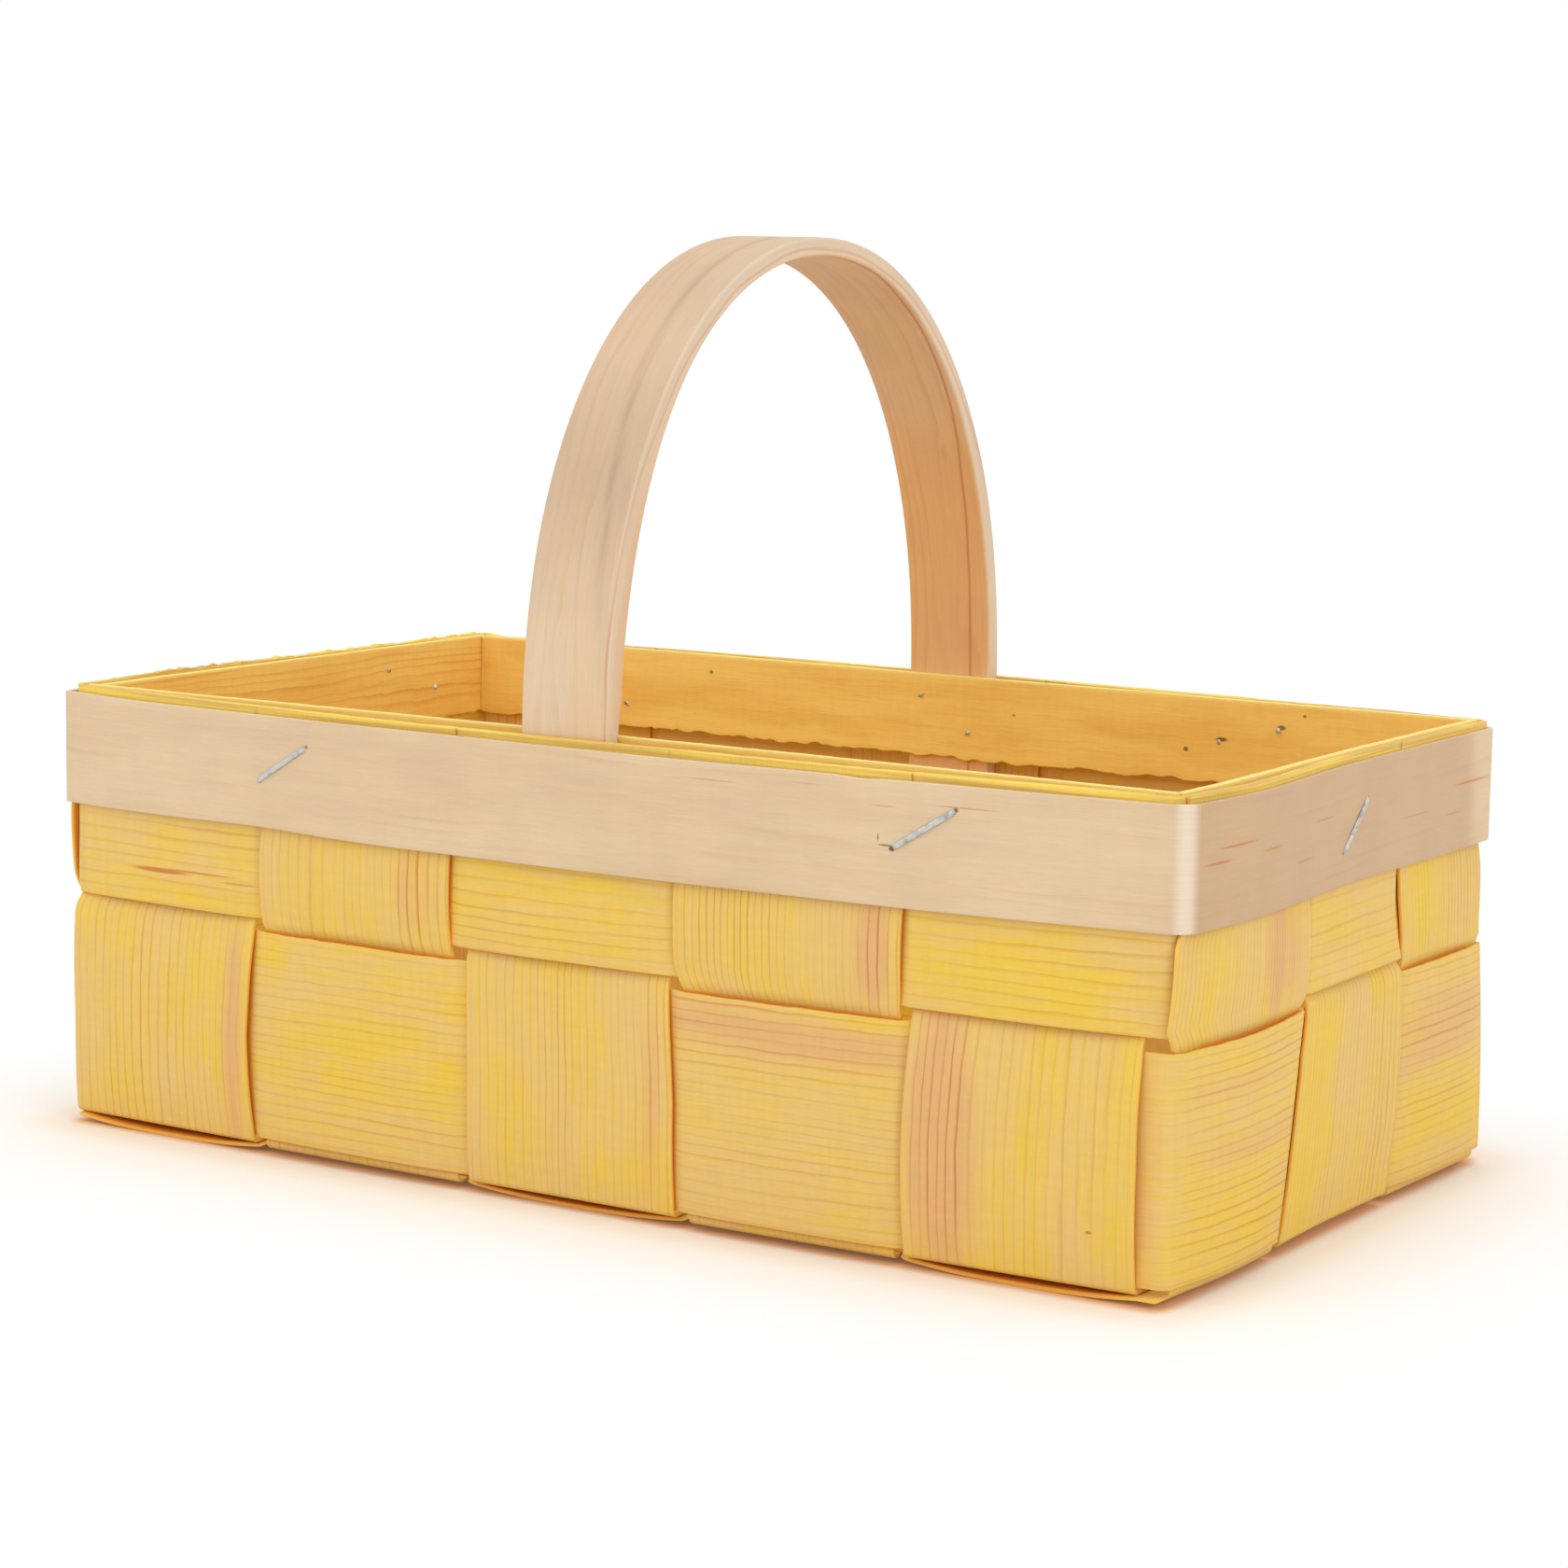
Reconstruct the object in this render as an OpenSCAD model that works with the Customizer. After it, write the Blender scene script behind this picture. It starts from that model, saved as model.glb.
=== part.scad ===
// Chip basket: eight wide splints cross in the floor and fold up into the walls, where
// two hoops are woven through them. Four boards line the rim, a band wraps it, and a
// bentwood handle is trapped between boards and weave.
// The long side faces -Y. The origin is on the floor, under the middle of the basket.

/* [Basket] */
// Length of the mouth between the end boards
inner_len = 204; // [150:1:300]
// Width of the mouth between the side boards
inner_wid = 109.2; // [90:0.1:160]
// Height of the rim above the floor
body_h = 75.1; // [60:0.1:110]
// How far the end walls stand in at the lower hoop
end_in = 0.1; // [0:0.1:3]
// How far the side walls stand out at the lower hoop
side_out = 0.9; // [0:0.1:2]
// How far the middle of a side wall swells out at the lower hoop
low_bow = 1.7; // [0:0.1:3]

/* [Splints] */
// Thickness of a splint
splint_t = 0.65; // [0.5:0.05:0.9]
// Gap between neighbouring crosswise splints
cross_gap = 2.6; // [2:0.1:5]
// Gap between neighbouring lengthwise splints
long_gap = 1.3; // [1.1:0.1:4]
// Distance by which the crosswise splints sit off centre, towards the left end
cross_shift = 1.3; // [0:0.1:2]
// Distance from a corner of the walls to the nearest splint's edge
corner_in = 1.9; // [1.7:0.1:4]
// Radius of the fold between floor and wall
fold_r = 0.9; // [0.6:0.05:1.5]
// How far a splint or hoop stands off where it passes outside
panel_bow = 1; // [0:0.1:1.6]
// How far a splint hangs down where it passes under another one in the floor
floor_bow = 0.9; // [0:0.1:1.5]
// Spare space between pieces that cross or touch
play = 0.1; // [0.05:0.01:0.15]

/* [Hoops] */
// Height of the gap between the two hoops
row_gap = 2.3; // [1.5:0.1:6]
// How far splints and hoops end below the top of the rim boards
top_drop = 0.4; // [0.2:0.1:2]
// Radius of a hoop's corners, at mid thickness
hoop_r = 1.5; // [1.2:0.1:1.7]
// How far a hoop's end stops short of the edge of the splint that hides it
lap_in = 3; // [1:0.5:6]

/* [Rim] */
// Thickness of the boards inside the rim
board_t = 1.1; // [0.8:0.05:2]
// Height of the boards inside the rim
board_h = 14.8; // [10:0.1:20]
// Depth of the tears along a board's lower edge
tear = 0.5; // [0:0.05:1]
// Thickness of the band round the rim
band_t = 0.9; // [0.6:0.05:1.5]
// Height of the band round the rim
band_h = 18.4; // [12:0.1:24]
// How far the band lies below the top of the rim boards
band_drop = 1.5; // [0.5:0.1:4]
// Radius of the band's corners, at mid thickness
band_r = 2.6; // [2.2:0.1:3]
// Length over which the band's two ends overlap
band_lap = 24; // [18:1:30]

/* [Handle] */
// Height of the handle's top above the floor
handle_h = 152.7; // [120:0.1:200]
// Width of the handle strip
handle_w = 16.3; // [12:0.1:24]
// Thickness of the handle strip
handle_t = 3.4; // [2:0.1:4]
// How far the handle's ends reach below the top of the rim
handle_tuck = 27; // [20:0.5:32]
// How far the back leg stands to the right of the front leg
handle_skew = 2.9; // [0:0.1:5]
// Fullness of the arch: 2 is an ellipse, more is squarer
arch_power = 2.1; // [2:0.05:3]

/* [Staples] */
// Length of a staple's crown
crown_l = 11.6; // [9:0.1:13]
// Width of the flat wire
wire_w = 0.9; // [0.6:0.05:1.4]
// Thickness of the flat wire
wire_t = 0.5; // [0.3:0.05:0.7]
// How far the points stand out inside the rim
tip_out = 0.5; // [0.2:0.05:1]
// Angle of the front crowns to the rim
staple_tilt = 32; // [0:1:40]
// Spare space round a staple's leg
hole_play = 0.05; // [0.02:0.01:0.1]

/* [Hidden] */

// Numbers of splints each way, and of the straight runs that make a curve
cross_n = 5;
long_n = 3;
step_n = 4;
bow_n = 7;
fold_n = 4;
corner_n = 5;
board_n = 46;
band_n = 24;
arch_n = 48;

// Shares of the floor's width that the lengthwise splints take, from the front
long_w_shares = [0.373, 0.332, 0.295];
// Staples through the rim: number of the wall, then shares of half the wall's length,
// of the band's height and of the front staples' angle. The fourth one holds the joint.
rim_staple_shares = [
    [0, -0.538, 0.6, 1],
    [0, 0.627, 0.64, 1],
    [1, 0.013, 0.49, 1.25],
    [2, -0.597, 0.75, -0.45],
    [2, 0.708, 0.42, -0.5],
    [3, -0.577, 0.73, 0.54]
];
joint_i = 3;
// The same for the staples through the handle's legs, from the leg's middle
leg_staple_shares = [
    [0, 0, 0.7, 1],
    [2, 0, 0.7, 1]
];
// How much of the outward swell is left between the hoops' gap and the band
held_bow_share = 0.5;

// Two crossing layers lie this far each side of a wall's middle surface
layer = (splint_t + play) / 2;
// Height of the floor's middle surface
floor_z = floor_bow + splint_t + play / 2;
// Heights of the hoops' edges
low_z0 = floor_z + layer + fold_r;
splint_top = body_h - top_drop;
hoop_h = (splint_top - low_z0 - row_gap) / 2;
low_z1 = low_z0 + hoop_h;
up_z0 = low_z1 + row_gap;
band_z1 = body_h - band_drop;
band_z0 = band_z1 - band_h;

// Half sizes of the walls' middle surfaces
wall_t = splint_t + play / 2;
up_x = inner_len / 2 + board_t + play + wall_t;
up_y = inner_wid / 2 + board_t + play + wall_t;
low_x = up_x - end_in;
low_y = up_y + side_out;

// Crosswise splints share the length, lengthwise splints the width inside the corners
cross_pitch = 2 * low_x / cross_n;
cross_w = cross_pitch - cross_gap;
cross_spans = [for (i = [0 : cross_n - 1]) [cross_lo(i), cross_mid(i) + cross_w / 2]];
long_room = 2 * (low_y - corner_in) - (long_n - 1) * long_gap;
long_spans = [for (j = [0 : long_n - 1]) [long_lo(j), long_lo(j) + long_room * long_w_shares[j]]];
function cross_mid(i) = (i - (cross_n - 1) / 2) * cross_pitch - cross_shift;
function cross_lo(i) = max(cross_mid(i) - cross_w / 2, corner_in - low_x);
function long_lo(j) = j == 0 ? corner_in - low_y : long_lo(j - 1) + long_room * long_w_shares[j - 1] + long_gap;

// The handle's legs push the middle of each side out by their own thickness. The swell
// is a parabola along the wall, and each splint lies flat at its lower edge's value.
handle_slot = handle_t + play;
mid_far = cross_w / 2 + cross_shift;
up_bow = handle_slot / (1 - pow(mid_far / up_x, 2));
band_bow = up_bow + wire_t + play;
function swell(bow, x) = bow * (1 - pow(x / up_x, 2));
function flat_swell(bow, span) = min(swell(bow, span[0]), swell(bow, span[1]));

// The handle's arch springs from the top of the rim
leg_in = inner_wid / 2 + board_t + play;
leg_out = leg_in + handle_t;
leg_z = body_h - handle_tuck;

// Face of the band that meets the weave, and length of a staple's leg from there
band_in = layer + splint_t / 2 + play;
over = 2 * handle_t;

dyed = "#e9c45c";
dyed_deep = "#e0b04a";
pale = "#e6cba6";
steel = "#a9adb0";

function ease(s) = s * s * (3 - 2 * s);
// Height share of a bow with a flat middle, at step k
function bow_share(k) = sin(180 * k / bow_n) / sin(180 * floor(bow_n / 2) / bow_n);
function unit(v) = v / norm(v);
function turn(v) = [-v.y, v.x];
function flip(s) = [for (i = [len(s) - 1 : -1 : 0]) [-s[i][1], -s[i][0]]];
function back_to_front(p) = [for (i = [len(p) - 1 : -1 : 0]) p[i]];

// Points of a soft step between two places
function step_pts(p, q) =
    [for (k = [1 : step_n - 1]) let (s = k / step_n) [p.x + (q.x - p.x) * s, p.y + (q.y - p.y) * ease(s)]];

// Outline of a strip of one thickness along a line of points
function side_way(p, i) =
    let (a = unit(p[max(i, 1)] - p[max(i, 1) - 1]))
    let (b = i == len(p) - 1 ? a : unit(p[i + 1] - p[i]))
    let (n = unit(turn(a) + turn(b)))
    n / (n * turn(b));
function side_line(p, d) = [for (i = [0 : len(p) - 1]) p[i] + side_way(p, i) * d];
function strip(p, t) = concat(side_line(p, t / 2), back_to_front(side_line(p, -t / 2)));

// A splint's wall as heights and distances from the middle, from the fold to the top.
// Side is 1 for a splint that passes outside the lower hoop, and -1 for one inside it.
function wall_low(side, d) =
    [for (k = [0 : bow_n]) [
        low_z0 + hoop_h * k / bow_n,
        d + side * layer + max(side, 0) * panel_bow * bow_share(k)
    ]];
function wall_high(side, d) =
    [for (k = [0 : bow_n]) [
        up_z0 + (band_z0 - up_z0) * k / bow_n,
        d - side * layer + max(-side, 0) * panel_bow * held_bow_share * bow_share(k)
    ]];
function wall_line(side, d_low, d_up) =
    let (low = wall_low(side, d_low))
    let (high = wall_high(side, d_up))
    concat(low, step_pts(low[bow_n], high[0]), high, [[splint_top, d_up - side * layer]]);
function fold_line(side, d) =
    let (far = d + side * layer - fold_r)
    let (z = floor_z + side * layer + fold_r)
    [for (k = [0 : fold_n]) if (z < low_z0 || k < fold_n)
        [z - fold_r * cos(90 * k / fold_n), far + fold_r * sin(90 * k / fold_n)]];

// The floor part of a splint, over and under the splints that it crosses. Where it
// passes under one it hangs down a little, with a flat middle that stands on the ground.
function over_it(side, m) = side == (m % 2 == 0 ? 1 : -1);
function at_crossing(side, s, m) =
    over_it(side, m) ? [for (u = s) [u, floor_z + layer]]
    : [for (k = [0 : bow_n]) [s[0] + (s[1] - s[0]) * k / bow_n, floor_z - layer - floor_bow * bow_share(k)]];
function floor_line(side, spans) =
    [for (m = [0 : len(spans) - 1])
        let (here = at_crossing(side, spans[m], m))
        each concat(
            m > 0 ? step_pts(ends(at_crossing(side, spans[m - 1], m - 1))[1], here[0]) : [],
            here
        )];

// The whole splint in profile, from the top of one wall to the top of the other
function splint_line(side, spans, d_low, d_up) =
    let (wall = concat(fold_line(side, d_low), wall_line(side, d_low, d_up)))
    concat(
        [for (p = back_to_front(wall)) [-p[1], p[0]]],
        floor_line(side, spans),
        [for (p = wall) [p[1], p[0]]]
    );

// A hoop in plan. Walls are numbered 0 front, 1 right, 2 back, 3 left, and each is
// drawn along u with its distance out from the wall's middle line.
function spans_of(w) =
    w == 0 ? cross_spans : w == 1 ? long_spans : w == 2 ? flip(cross_spans) : flip(long_spans);
function hoop_out(w, m, low) = low == ((w % 2 == 0) ? m % 2 == 1 : m % 2 == 0);
function bow_of(w, low) = w % 2 == 1 ? 0 : low ? low_bow : up_bow;
function flat_end(w, low) = (w % 2 == 0 ? (low ? low_x : up_x) : (low ? low_y : up_y)) - hoop_r - layer;
function at_splint(w, m, low) =
    let (far = flat_end(w, low))
    let (s = [for (u = spans_of(w)[m]) max(-far, min(far, u))])
    let (bow = bow_of(w, low))
    hoop_out(w, m, low) ? [for (k = [0 : bow_n])
        let (u = s[0] + (s[1] - s[0]) * k / bow_n)
        [u, swell(bow, u) + layer + (low ? panel_bow * bow_share(k) : 0)]]
    : [for (k = [0 : 1]) [s[k], flat_swell(bow, s) - layer]];
function along(w, m0, m1, low) =
    [for (m = [m0 : m1]) each concat(
        m > m0 ? step_pts(ends(at_splint(w, m - 1, low))[1], at_splint(w, m, low)[0]) : [],
        at_splint(w, m, low)
    )];
function ends(p) = [p[0], p[len(p) - 1]];
function placed(w, p, d) = [for (q = p) spin(w, [q.x, -(d[w % 2] + q.y)])];
function spin(w, v) = w == 0 ? v : spin(w - 1, turn(v));
function corner(w, o, o_next, r, d) =
    let (u = d[(w + 1) % 2] + o_next - r)
    placed(w, [for (k = [0 : corner_n]) [u + r * sin(90 * k / corner_n), o - r + r * cos(90 * k / corner_n)]], d);

// The hoop starts under one back splint and ends on its own start, one layer further in
function hoop_line(low, d) =
    let (m = low ? 2 : 1)
    let (s = spans_of(2)[m])
    let (o = flat_swell(bow_of(2, low), s) - layer)
    let (last = ends(at_splint(2, m - 1, low))[1])
    let (lap = [s[0], o - 2 * layer])
    let (start = [[s[0] + lap_in, o], [s[1], o]])
    let (walls = [for (w = [0 : 3]) along(w, 0, len(spans_of(w)) - 1, low)])
    concat(
        placed(2, concat(start, step_pts(start[1], at_splint(2, m + 1, low)[0])), d),
        placed(2, along(2, m + 1, cross_n - 1, low), d),
        corner(2, ends(walls[2])[1].y, walls[3][0].y, hoop_r, d),
        placed(3, walls[3], d),
        corner(3, ends(walls[3])[1].y, walls[0][0].y, hoop_r, d),
        placed(0, walls[0], d),
        corner(0, ends(walls[0])[1].y, walls[1][0].y, hoop_r, d),
        placed(1, walls[1], d),
        corner(1, ends(walls[1])[1].y, walls[2][0].y, hoop_r, d),
        placed(2, along(2, 0, m - 1, low), d),
        placed(2, concat(step_pts(last, lap), [lap, [s[1] - lap_in, lap.y]]), d)
    );

// The band starts and ends at the back, where its ends overlap under a staple
lap_mid = up_x * rim_staple_shares[joint_i][1];
lap_u0 = lap_mid - band_lap / 2;
lap_u1 = lap_mid + band_lap / 2;
lap_ramp = band_lap / 4;
band_mid = band_in + band_t / 2;
band_end = up_x - band_r + band_mid;
side_end = up_y - band_r + band_mid;
function band_side(u0, u1, lift) =
    [for (k = [0 : band_n]) let (u = u0 + (u1 - u0) * k / band_n) [u, band_mid + lift + swell(band_bow, u)]];
band_corner_o = band_mid + swell(band_bow, band_end);
function inner_pts(p) = [for (i = [1 : len(p) - 2]) p[i]];
function band_line(d) =
    let (side = inner_pts(band_side(-band_end, band_end, 0)))
    let (from_lap = band_side(lap_u0, band_end, 0))
    let (to_lap = inner_pts(band_side(-band_end, lap_u0 - lap_ramp, 0)))
    let (lap = band_side(lap_u0, lap_u1, band_t + play))
    let (ramp = step_pts(to_lap[len(to_lap) - 1], lap[0]))
    concat(
        placed(2, [for (k = [0 : band_n - 1]) from_lap[k]], d),
        corner(2, band_corner_o, band_mid, band_r, d),
        corner(3, band_mid, band_corner_o, band_r, d),
        placed(0, side, d),
        corner(0, band_corner_o, band_mid, band_r, d),
        corner(1, band_mid, band_corner_o, band_r, d),
        placed(2, concat(to_lap, ramp, lap), d)
    );

// A staple lies in the XZ plane with its crown along X and its legs towards +Y.
// The crown's inner face is at y = 0.
module staple(leg) {
    half = crown_l / 2;
    translate([0, 0, -wire_w / 2])
        linear_extrude(wire_w)
            polygon([
                [-half, -wire_t], [half, -wire_t], [half, leg], [half - wire_t, leg - wire_t],
                [half - wire_t, 0], [wire_t - half, 0], [wire_t - half, leg - wire_t], [-half, leg]
            ]);
}

// The two slots that a staple's legs cut
module staple_slots(leg) {
    for (side = [-1, 1])
        translate([side * (crown_l - wire_t) / 2, (leg - over) / 2, 0])
            cube([wire_t + 2 * hole_play, leg + 2 * over, wire_w + 2 * hole_play], center = true);
}

// Puts its children on a wall, turned with the swell there, with their Y axis pointing in.
// A place is the wall's number, the distance along it, the height, the tilt and how far out.
module on_wall(place) {
    w = place[0];
    d = [up_y, up_x];
    slope = w % 2 == 0 ? atan(2 * band_bow * place[1] / pow(up_x, 2)) : 0;
    rotate([0, 0, 90 * w])
        translate([place[1], -(d[w % 2] + place[4]), place[2]])
            rotate([0, 0, slope])
                rotate([0, -place[3], 0])
                    children();
}

// Where the staples are. The rim's lie on the band, the handle's under it on the weave.
function half_of(w) = w % 2 == 0 ? up_x : up_y;
function crown_out(w, u, lift) = band_in + band_t + hole_play + lift + (w % 2 == 0 ? swell(band_bow, u) : 0);
rim_places = [for (i = [0 : len(rim_staple_shares) - 1])
    let (p = rim_staple_shares[i])
    let (u = p[1] * half_of(p[0]))
    [p[0], u, band_z0 + band_h * p[2], staple_tilt * p[3], crown_out(p[0], u, i == joint_i ? band_t + play : 0)]];
grip_out = up_bow + layer + splint_t / 2 + hole_play;
grip_places = [for (p = leg_staple_shares)
    [p[0], p[1] * half_of(p[0]) - handle_skew / 2, band_z0 + band_h * p[2], staple_tilt * p[3], grip_out]];
wall_depth = wall_t + play + board_t;
function leg_of(place) = place[4] + wall_depth + tip_out;

module slots(places) {
    for (p = places)
        on_wall(p)
            staple_slots(leg_of(p));
}

module cross_splint(i) {
    side = i % 2 == 0 ? 1 : -1;
    s = cross_spans[i];
    line = splint_line(side, long_spans, low_y + flat_swell(low_bow, s), up_y + flat_swell(up_bow, s));
    color(dyed)
        difference() {
            translate([s[0], 0, 0])
                rotate([90, 0, 90])
                    linear_extrude(s[1] - s[0])
                        polygon(strip(line, splint_t));
            slots(rim_places);
            slots(grip_places);
        }
}

module long_splint(j) {
    side = j % 2 == 0 ? -1 : 1;
    s = long_spans[j];
    color(dyed)
        difference() {
            translate([0, s[1], 0])
                rotate([90, 0, 0])
                    linear_extrude(s[1] - s[0])
                        polygon(strip(splint_line(side, cross_spans, low_x, up_x), splint_t));
            slots(rim_places);
        }
}

module lower_hoop() {
    color(dyed)
        translate([0, 0, low_z0])
            linear_extrude(hoop_h)
                polygon(strip(hoop_line(true, [low_y, low_x]), splint_t));
}

module upper_hoop() {
    color(dyed)
        difference() {
            translate([0, 0, up_z0])
                linear_extrude(hoop_h)
                    polygon(strip(hoop_line(false, [up_y, up_x]), splint_t));
            slots(rim_places);
            slots(grip_places);
        }
}

// A rim board stands in the XZ plane. Its lower edge is torn in an uneven wave.
function torn(x, phase) = (sin(x * 31 + phase) + sin(x * 13 - phase * 2) + sin(x * 5 + phase * 3)) / 3;
module rim_board(len, phase) {
    wave = 360 / len;
    low = [for (k = [0 : board_n]) let (x = len * (k / board_n - 1 / 2)) [x, tear * torn(x * wave, phase)]];
    translate([0, 0, body_h - board_h])
        rotate([90, 0, 0])
            linear_extrude(board_t)
                polygon(concat(low, [[len / 2, board_h], [-len / 2, board_h]]));
}
side_board_l = inner_len + 2 * (board_t - play);
end_board_l = inner_wid - 2 * play;

module rim_board_side(w, phase) {
    color(dyed_deep)
        difference() {
            rotate([0, 0, 90 * w])
                translate([0, -inner_wid / 2, 0])
                    rim_board(side_board_l, phase);
            slots(rim_places);
            slots(grip_places);
        }
}

module rim_board_end(w, phase) {
    color(dyed_deep)
        difference() {
            rotate([0, 0, 90 * w])
                translate([0, -inner_len / 2, 0])
                    rim_board(end_board_l, phase);
            slots(rim_places);
        }
}

module rim_band() {
    color(pale)
        difference() {
            translate([0, 0, band_z0])
                linear_extrude(band_h)
                    polygon(strip(band_line([up_y, up_x]), band_t));
            slots(rim_places);
        }
}

// The arch in profile, and the slanted strip that it fills in plan
function arch(a, b) =
    [for (k = [0 : arch_n])
        let (c = cos(180 * k / arch_n))
        [a * sign(c) * pow(abs(c), 2 / arch_power), body_h + b * pow(sin(180 * k / arch_n), 2 / arch_power)]];
module arch_profile() {
    top = handle_h - body_h;
    polygon(concat(
        [[leg_out, leg_z]],
        arch(leg_out, top),
        [[-leg_out, leg_z], [-leg_in, leg_z]],
        back_to_front(arch(leg_in, top - handle_t)),
        [[leg_in, leg_z]]
    ));
}
module handle_plan() {
    front = -handle_skew / 2;
    back = handle_skew / 2;
    half = handle_w / 2;
    far = leg_out + over;
    polygon([
        [front - half, -far], [front + half, -far], [front + half, -leg_in], [back + half, leg_in],
        [back + half, far], [back - half, far], [back - half, leg_in], [front - half, -leg_in]
    ]);
}
module handle() {
    reach = handle_w + handle_skew;
    color(pale)
        difference() {
            intersection() {
                translate([-reach, 0, 0])
                    rotate([90, 0, 90])
                        linear_extrude(2 * reach)
                            arch_profile();
                translate([0, 0, leg_z - over])
                    linear_extrude(handle_h - leg_z + 2 * over)
                        handle_plan();
            }
            slots(grip_places);
        }
}

module rim_staples() {
    color(steel)
        for (p = rim_places)
            on_wall(p)
                staple(leg_of(p));
}

module handle_staples() {
    color(steel)
        for (p = grip_places)
            on_wall(p)
                staple(leg_of(p));
}

cross_splint(0);  // cross_splint_1
cross_splint(1);  // cross_splint_2
cross_splint(2);  // cross_splint_3
cross_splint(3);  // cross_splint_4
cross_splint(4);  // cross_splint_5
long_splint(0);  // long_splint_front
long_splint(1);  // long_splint_middle
long_splint(2);  // long_splint_back
lower_hoop();
upper_hoop();
rim_board_side(0, 20);  // rim_board_front
rim_board_side(2, 75);  // rim_board_back
rim_board_end(3, 140);  // rim_board_left
rim_board_end(1, 250);  // rim_board_right
rim_band();
handle();
rim_staples();
handle_staples();
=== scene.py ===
"""Chip basket: wide dyed splints woven through two hoops, with a boarded rim, a pale band
round it and a bentwood handle. Lengths are in millimetres inside the script and become
metres when a piece is finished."""

import math

import bmesh
import bpy
from bpy.props import FloatProperty, FloatVectorProperty, PointerProperty
from mathutils import Matrix, Vector, noise


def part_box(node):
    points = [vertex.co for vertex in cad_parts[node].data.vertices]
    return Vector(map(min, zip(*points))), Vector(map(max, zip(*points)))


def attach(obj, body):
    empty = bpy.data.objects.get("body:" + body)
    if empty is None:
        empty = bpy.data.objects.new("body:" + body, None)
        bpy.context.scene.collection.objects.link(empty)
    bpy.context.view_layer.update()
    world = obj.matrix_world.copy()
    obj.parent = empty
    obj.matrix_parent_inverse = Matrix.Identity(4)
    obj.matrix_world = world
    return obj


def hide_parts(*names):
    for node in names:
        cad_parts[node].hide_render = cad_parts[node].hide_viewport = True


bl_info = {
    "name": "Chip basket",
    "version": (1, 0, 0),
    "blender": (4, 5, 0),
    "location": "3D View > Sidebar > Basket",
    "description": "Woven chip basket with a bentwood handle",
    "category": "Add Mesh",
}

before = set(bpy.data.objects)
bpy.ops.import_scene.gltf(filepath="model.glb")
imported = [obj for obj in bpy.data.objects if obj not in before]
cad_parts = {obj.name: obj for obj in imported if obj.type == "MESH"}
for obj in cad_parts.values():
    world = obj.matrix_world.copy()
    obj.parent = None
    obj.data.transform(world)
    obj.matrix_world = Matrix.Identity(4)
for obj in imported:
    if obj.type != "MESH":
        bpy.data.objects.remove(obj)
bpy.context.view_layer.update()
MM = 0.001


def reach(node, axis):
    """Lowest and highest place of a CAD node along an axis, in millimetres."""
    low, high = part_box(node)
    return low[axis] / MM, high[axis] / MM


# Where the CAD has its pieces
CROSS = [reach("cross_splint_%d" % n, 0) for n in range(1, 6)]
LONG = [reach("long_splint_" + n, 1) for n in ("front", "middle", "back")]
LOW_Z = reach("lower_hoop", 2)
UP_Z = reach("upper_hoop", 2)
BAND_Z = reach("rim_band", 2)
HANDLE_Z = reach("handle", 2)
HANDLE_Y = reach("handle", 1)[1]
RIM_TOP = reach("rim_board_front", 2)[1]
BOARD_FACE = reach("rim_board_back", 1)[0]

# Walls are numbered round the basket. Their middle surfaces at the rim and at the lower hoop,
# and the floor's middle surface
FRONT, RIGHT, BACK, LEFT = range(4)
UP_X, UP_Y = 103.9, 56.5
LOW_X, LOW_Y = 103.8, 57.4
FLOOR_MID = 1.6

# Radii of a splint's edges, of the hoops' corners and of the band's corner after each wall
SPLINT_EDGE = 0.13
HOOP_R = 1.5
BAND_R = (3.6, 3.0, 3.0, 1.9)

# Distance between the rows of points across a splint, how far its edges waver and over what run
ROW_STEP = 1.4
EDGE_WAVE, WAVE_RUN = 0.16, 17
# Heights between which the walls pass from their lower to their upper place
TURN_Z = (26, 52)
# How far a hoop's end stops short of the edge of the splint that hides it
LAP_IN = 3
# The band's overlap, the ramp to it, and its middle as a share of the back wall's half length
BAND_LAP, LAP_RAMP, LAP_SHARE = 24, 6, -0.597
# How far the back leg stands to the right of the front leg, and the fullness of the arch
HANDLE_SKEW, ARCH_POWER = 2.9, 2.1

# The splints' two edges on the front, right and left walls, as (height, one edge, other edge).
# A wall or a splint without a table keeps the edges of the CAD.
EDGES = {
    FRONT: [
        ((3, -103.9, -63.9), (20, -103.9, -64.6), (37, -104.3, -63.7), (42, -102.0, -63.8),
         (75, -101.9, -63.9)),
        ((3, -61.8, -21.6), (38, -61.8, -22.4), (75, -61.4, -22.3)),
        ((3, -18.9, 20.6), (20, -18.6, 20.7), (38, -19.3, 19.4), (46, -19.8, 18.8), (75, -19.8, 18.8)),
        ((3, 23.0, 59.6), (37, 22.0, 60.0), (42, 20.7, 60.5), (75, 20.5, 60.7)),
        ((3, 61.6, 99.8), (20, 61.5, 99.8), (37, 62.2, 99.8), (75, 62.6, 100.1)),
    ],
    RIGHT: [
        ((1.35, -57.7, -22.0), (1.85, -55.0, -22.0), (16, -55.0, -20.8), (24, -55.0, -19.6),
         (31, -55.0, -17.8), (37, -55.0, -15.6), (41, -59.4, -14.6), (53, -58.0, -15.1),
         (57, -55.2, -15.1)),
        ((3, -20.8, 19.6), (8, -20.6, 19.2), (16, -19.9, 20.5), (24, -18.5, 21.2), (31, -16.7, 22.2),
         (37, -13.6, 23.7), (46, -13.2, 19.8), (75, -13.4, 19.6)),
        ((3, 21.4, 55.2), (37, 25.0, 55.2), (41, 23.2, 56.4), (50, 21.1, 56.0), (57, 21.2, 55.2)),
    ],
    LEFT: [
        ((1.35, -58.4, -15.07), (1.85, -55.0, -15.07), (38, -55.0, -15.07), (42, -56.3, -15.07),
         (55, -57.3, -15.07), (57.5, -55.2, -15.07)),
        None,
        None,
    ],
}


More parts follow.
